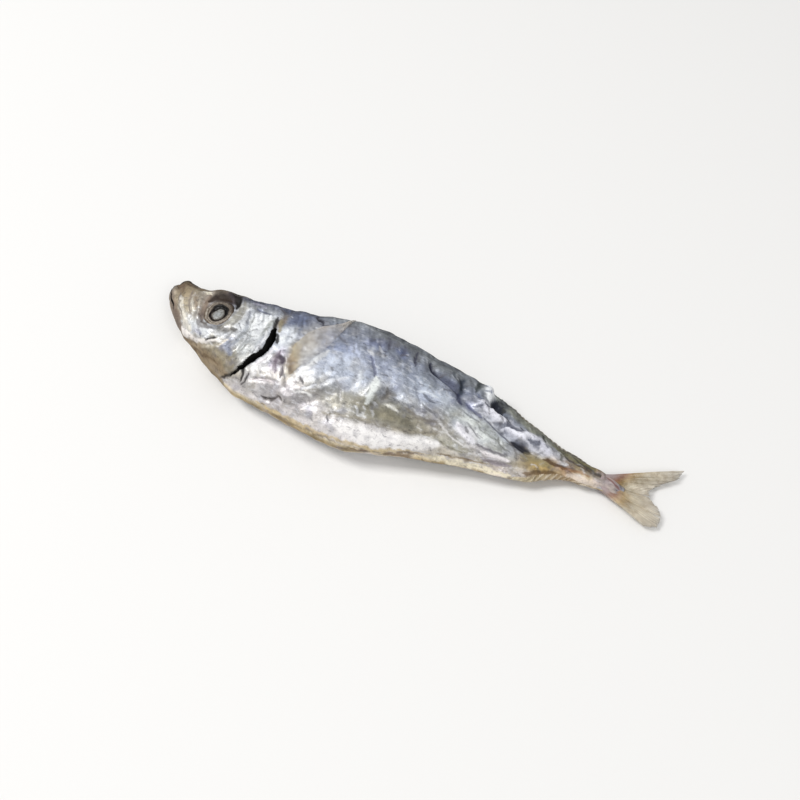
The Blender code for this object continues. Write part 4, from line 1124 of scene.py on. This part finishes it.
def make_tail_fin(material):
    """Forked tail in bundles of rays that have come a little apart at the frayed edge."""
    draw = np.random.default_rng(5)
    rows, columns = 56, 8 * RAYS_IN_BUNDLE + 1
    down, over = shares(rows, columns)
    pinch = 1.08 - 0.16 * down ** 3
    ray = ribs(RAYS_IN_BUNDLE * over)
    root_half, edge_half = TAIL_HALF_THICK
    grids, rays, tints = [], [], []
    for bundle in range(TAIL_BUNDLES):
        spot = np.clip((bundle + 0.5 + (over - 0.5) * pinch) / TAIL_BUNDLES, 0, 1)
        length = 1 - 0.05 * draw.random() - 0.1 * draw.random(columns)[None, :] ** 3
        root = np.array(TAIL_ROOT[0]) + (np.array(TAIL_ROOT[1]) - TAIL_ROOT[0]) * spot[..., None]
        flat = root + (along(TAIL_EDGE, spot) - root) * (down * length)[..., None]
        half = edge_half + (root_half - edge_half) * (1 - down) ** 2.2 * ease(1, 0.85, down)
        half = half * (0.5 + 0.5 * np.sin(np.pi * spot) ** 0.4) + 0.07 * ray * down ** 0.5
        lift = (0.25 * (-1) ** bundle * down + 0.35 * down * np.sin(7 * spot + 3 * down)
                + 0.3 * down ** 3 * draw.normal() + 0.12 * cloud(np.dstack([flat, 0 * down]), 3.0, 2))
        middle = TAIL_Z[0] + (TAIL_Z[1] - TAIL_Z[0]) * down + lift
        top = np.concatenate([flat, (middle + half)[..., None]], -1)
        bottom = np.concatenate([flat, np.maximum(middle - half, TAIL_LOWEST)[..., None]], -1)
        thin = cloud(np.dstack([flat / (5.0, 2.0), 0 * down]), 1.0, 3)
        tint = fin_tint(down, ray * (0.6 + 0.5 * thin), FIN_COLOURS, 0.14)
        grids += [top, bottom]
        rays += [np.clip(np.maximum(0.34 + 0.4 * ray + 0.25 * thin, ease(0.6, 0.2, down)), 0, 1)] * 2
        tints += [tint, tint]
    faces = []
    for bundle in range(TAIL_BUNDLES):
        offset = bundle * 2 * rows * columns
        faces += [[corner + offset for corner in face] for face in slab_faces(rows, columns)]
    piece = mesh_object("scad_tail_fin", np.array(grids), faces, material)
    give_values(piece, "ray", np.array(rays))
    give_colours(piece, "tint", np.array(tints))


PECTORAL_RAYS = 14
PECTORAL_THICK = 0.5
PECTORAL_COLOURS = (  # (share from root to tip, display colour)
    (0, (106, 86, 70)), (0.05, (174, 153, 122)), (0.14, (208, 196, 168)), (0.3, (228, 222, 210)),
    (0.52, (238, 236, 240)), (1, (244, 242, 242)),
)


def make_pectoral_fin(name, left, material):
    """Thin ribbed blade laid back over one flank."""
    rows, columns = 90, 8 * PECTORAL_RAYS + 1
    draw = np.random.default_rng(8)
    down, over = shares(rows, columns)
    length = 1 - 0.16 * draw.random(columns)[None, :] * ease(0.05, 0.5, over)
    if not left:
        length *= RIGHT_FIN_REACH
    front, rear = along(PECTORAL_FRONT, down * length), along(PECTORAL_REAR, down * length)
    flat = front + (rear - front) * over[..., None]
    surface, normal = flank_point(flat[..., 0], flat[..., 1], left)
    ray = ribs(PECTORAL_RAYS * over)
    rise = 0.3 * ease(0, 0.15, down) + 0.14 * ray * ease(0, 0.3, down) + 0.12 * cloud(surface, 5.0, 2)
    rise = rise - 0.3 * ease(0.08, 0.0, over) - 0.3 * ease(0.08, 0.0, 1 - over)
    points = blade(surface, normal, rise, PECTORAL_THICK)
    points[..., 2] = np.maximum(points[..., 2], np.array([0, FIN_LOWEST])[:, None, None])
    piece = mesh_object(name, points, slab_faces(rows, columns), material)
    veil = (0.18 + 0.4 * ray) * (1 - 0.7 * over) * (1 + 0.6 * cloud(surface, 4.0, 2))
    veil = np.clip(veil + 0.5 * ease(0.7, 0.9, down), 0, 1)
    faint = down + 0.15 * over + 0.08 * cloud(surface + 9, 3.0, 2)
    veil = np.maximum(veil, (0.45 + 0.2 * ray) * ease(0.5, 0.08, faint) * ease(0, 0.07, down))
    give_values(piece, "ray", np.array([veil, veil]))
    tint = fin_tint(down + 0.07 * cloud(surface + 5, 3.0, 2), ray, PECTORAL_COLOURS, 0.0)
    give_colours(piece, "tint", np.array([tint, tint]))


FOLDED_RAY_PITCH = 1.9
FOLDED_FIN_LIFT = 0.3
FOLDED_FIN_THICK = 0.7
BACK_FIN_COLOURS = (  # (share from the front to the rear, display colour)
    (0, (66, 68, 64)), (0.4, (86, 88, 76)), (0.8, (74, 72, 60)), (1, (96, 84, 68)),
)
ANAL_FIN_COLOURS = (
    (0, (204, 196, 172)), (0.3, (180, 164, 128)), (0.7, (160, 136, 102)), (1, (200, 184, 160)),
)
FOLDED_FINS = (  # (name, span, turn at its root, half width as a turn, colours, seed)
    ("scad_back_fin", BACK_FIN_SPAN, 0, 0.045, BACK_FIN_COLOURS, 12),
    ("scad_anal_fin", ANAL_FIN_SPAN, 0.5, 0.06, ANAL_FIN_COLOURS, 14),
)


def make_folded_fin(name, span, root, half_width, colours, seed, material):
    """A fin folded down along the back or the belly, its slanted rays showing as ribs."""
    rows, columns = 260, 25
    draw = np.random.default_rng(seed)
    down, over = shares(rows, columns)
    aside = 2 * over - 1
    x = span[0] + (span[1] - span[0]) * down
    taper = np.clip(np.sin(np.pi * down), 0, 1) ** 0.4 * (1 - 0.35 * draw.random(rows)[:, None] ** 2)
    turn = (root + half_width * aside * taper) % 1
    surface = plain_body(x, turn)
    phase = x / FOLDED_RAY_PITCH - 1.1 * np.abs(aside) + 0.45 * cloud(surface, 5.0, 2)
    ray = ribs(phase, 2) * (0.75 + 0.4 * cloud(surface + 8, 4.0, 2))
    within = ease(1.0, 0.75, np.abs(aside)) * ease(0, 0.04, down) * ease(0, 0.04, 1 - down)
    rise = skin_rise(x, turn, surface) + FOLDED_FIN_LIFT * within * (0.35 + ray) - 0.12 * (1 - within)
    points = blade(surface, outward(x, turn), rise, FOLDED_FIN_THICK)
    points[..., 2] = np.maximum(points[..., 2], FIN_LOWEST)
    piece = mesh_object(name, points, slab_faces(rows, columns), material)
    tint = fin_tint(down, ray, colours, 0.3)
    give_values(piece, "ray", np.ones((2, rows, columns)))
    give_colours(piece, "tint", np.array([tint, tint]))


def make_floor():
    """Plain pale surface under the fish."""
    mesh = bpy.data.meshes.new("floor")
    half = FLOOR_HALF
    corners = [(-half, -half, 0), (half, -half, 0), (half, half, 0), (-half, half, 0)]
    mesh.from_pydata(corners, [], [(0, 1, 2, 3)])
    s = Shader("pale_floor")
    s.set(Base_Color=FLOOR_COLOUR, Roughness=0.7)
    mesh.materials.append(s.material)
    floor = bpy.data.objects.new("floor", mesh)
    bpy.context.scene.collection.objects.link(floor)


def aim(obj, spot, target):
    """Puts an object at a spot, looking at the target."""
    obj.location = spot
    obj.rotation_euler = (Vector(spot) - Vector(target)).to_track_quat("Z", "Y").to_euler()
    bpy.context.scene.collection.objects.link(obj)


def make_camera():
    """Camera at the photograph's viewing angle."""
    azimuth, elevation = np.radians(CAMERA_AZIMUTH), np.radians(CAMERA_ELEVATION)
    level = np.cos(elevation)
    away = np.array([np.sin(azimuth) * level, -np.cos(azimuth) * level, np.sin(elevation)])
    camera = bpy.data.objects.new("camera", bpy.data.cameras.new("camera"))
    camera.data.lens = CAMERA_LENS
    camera.data.sensor_width = SENSOR_WIDTH
    camera.data.clip_start = 0.01
    target = place([CAMERA_AIM])[0]
    aim(camera, (target + away * CAMERA_DISTANCE * MM).tolist(), target.tolist())
    bpy.context.scene.camera = camera


def make_light(name, spot, size, power):
    """Square light that looks at the fish."""
    light = bpy.data.lights.new(name, "AREA")
    light.size = size
    light.energy = power
    aim(bpy.data.objects.new(name, light), spot, LIGHT_TARGET)


def make_lights():
    """Soft studio light: a key from the upper left, a weak one from the front right and an even pale room."""
    for light in LIGHTS:
        make_light(*light)
    world = bpy.data.worlds.new("studio")
    world.use_nodes = True
    room = world.node_tree.nodes["Background"]
    room.inputs["Color"].default_value = ROOM_COLOUR
    room.inputs["Strength"].default_value = ROOM_STRENGTH
    bpy.context.scene.world = world
    bpy.context.scene.view_settings.view_transform = "Standard"


def main():
    """Builds the stage and the eight pieces."""
    make_camera()
    make_lights()
    make_floor()
    skin, fin, eye = skin_material(), fin_material(), eye_material()
    make_body(skin)
    make_eye("scad_eye_left", True, eye)
    make_eye("scad_eye_right", False, eye)
    make_tail_fin(fin)
    make_pectoral_fin("scad_pectoral_fin_left", True, fin)
    make_pectoral_fin("scad_pectoral_fin_right", False, fin)
    for row in FOLDED_FINS:
        make_folded_fin(*row, fin)


main()
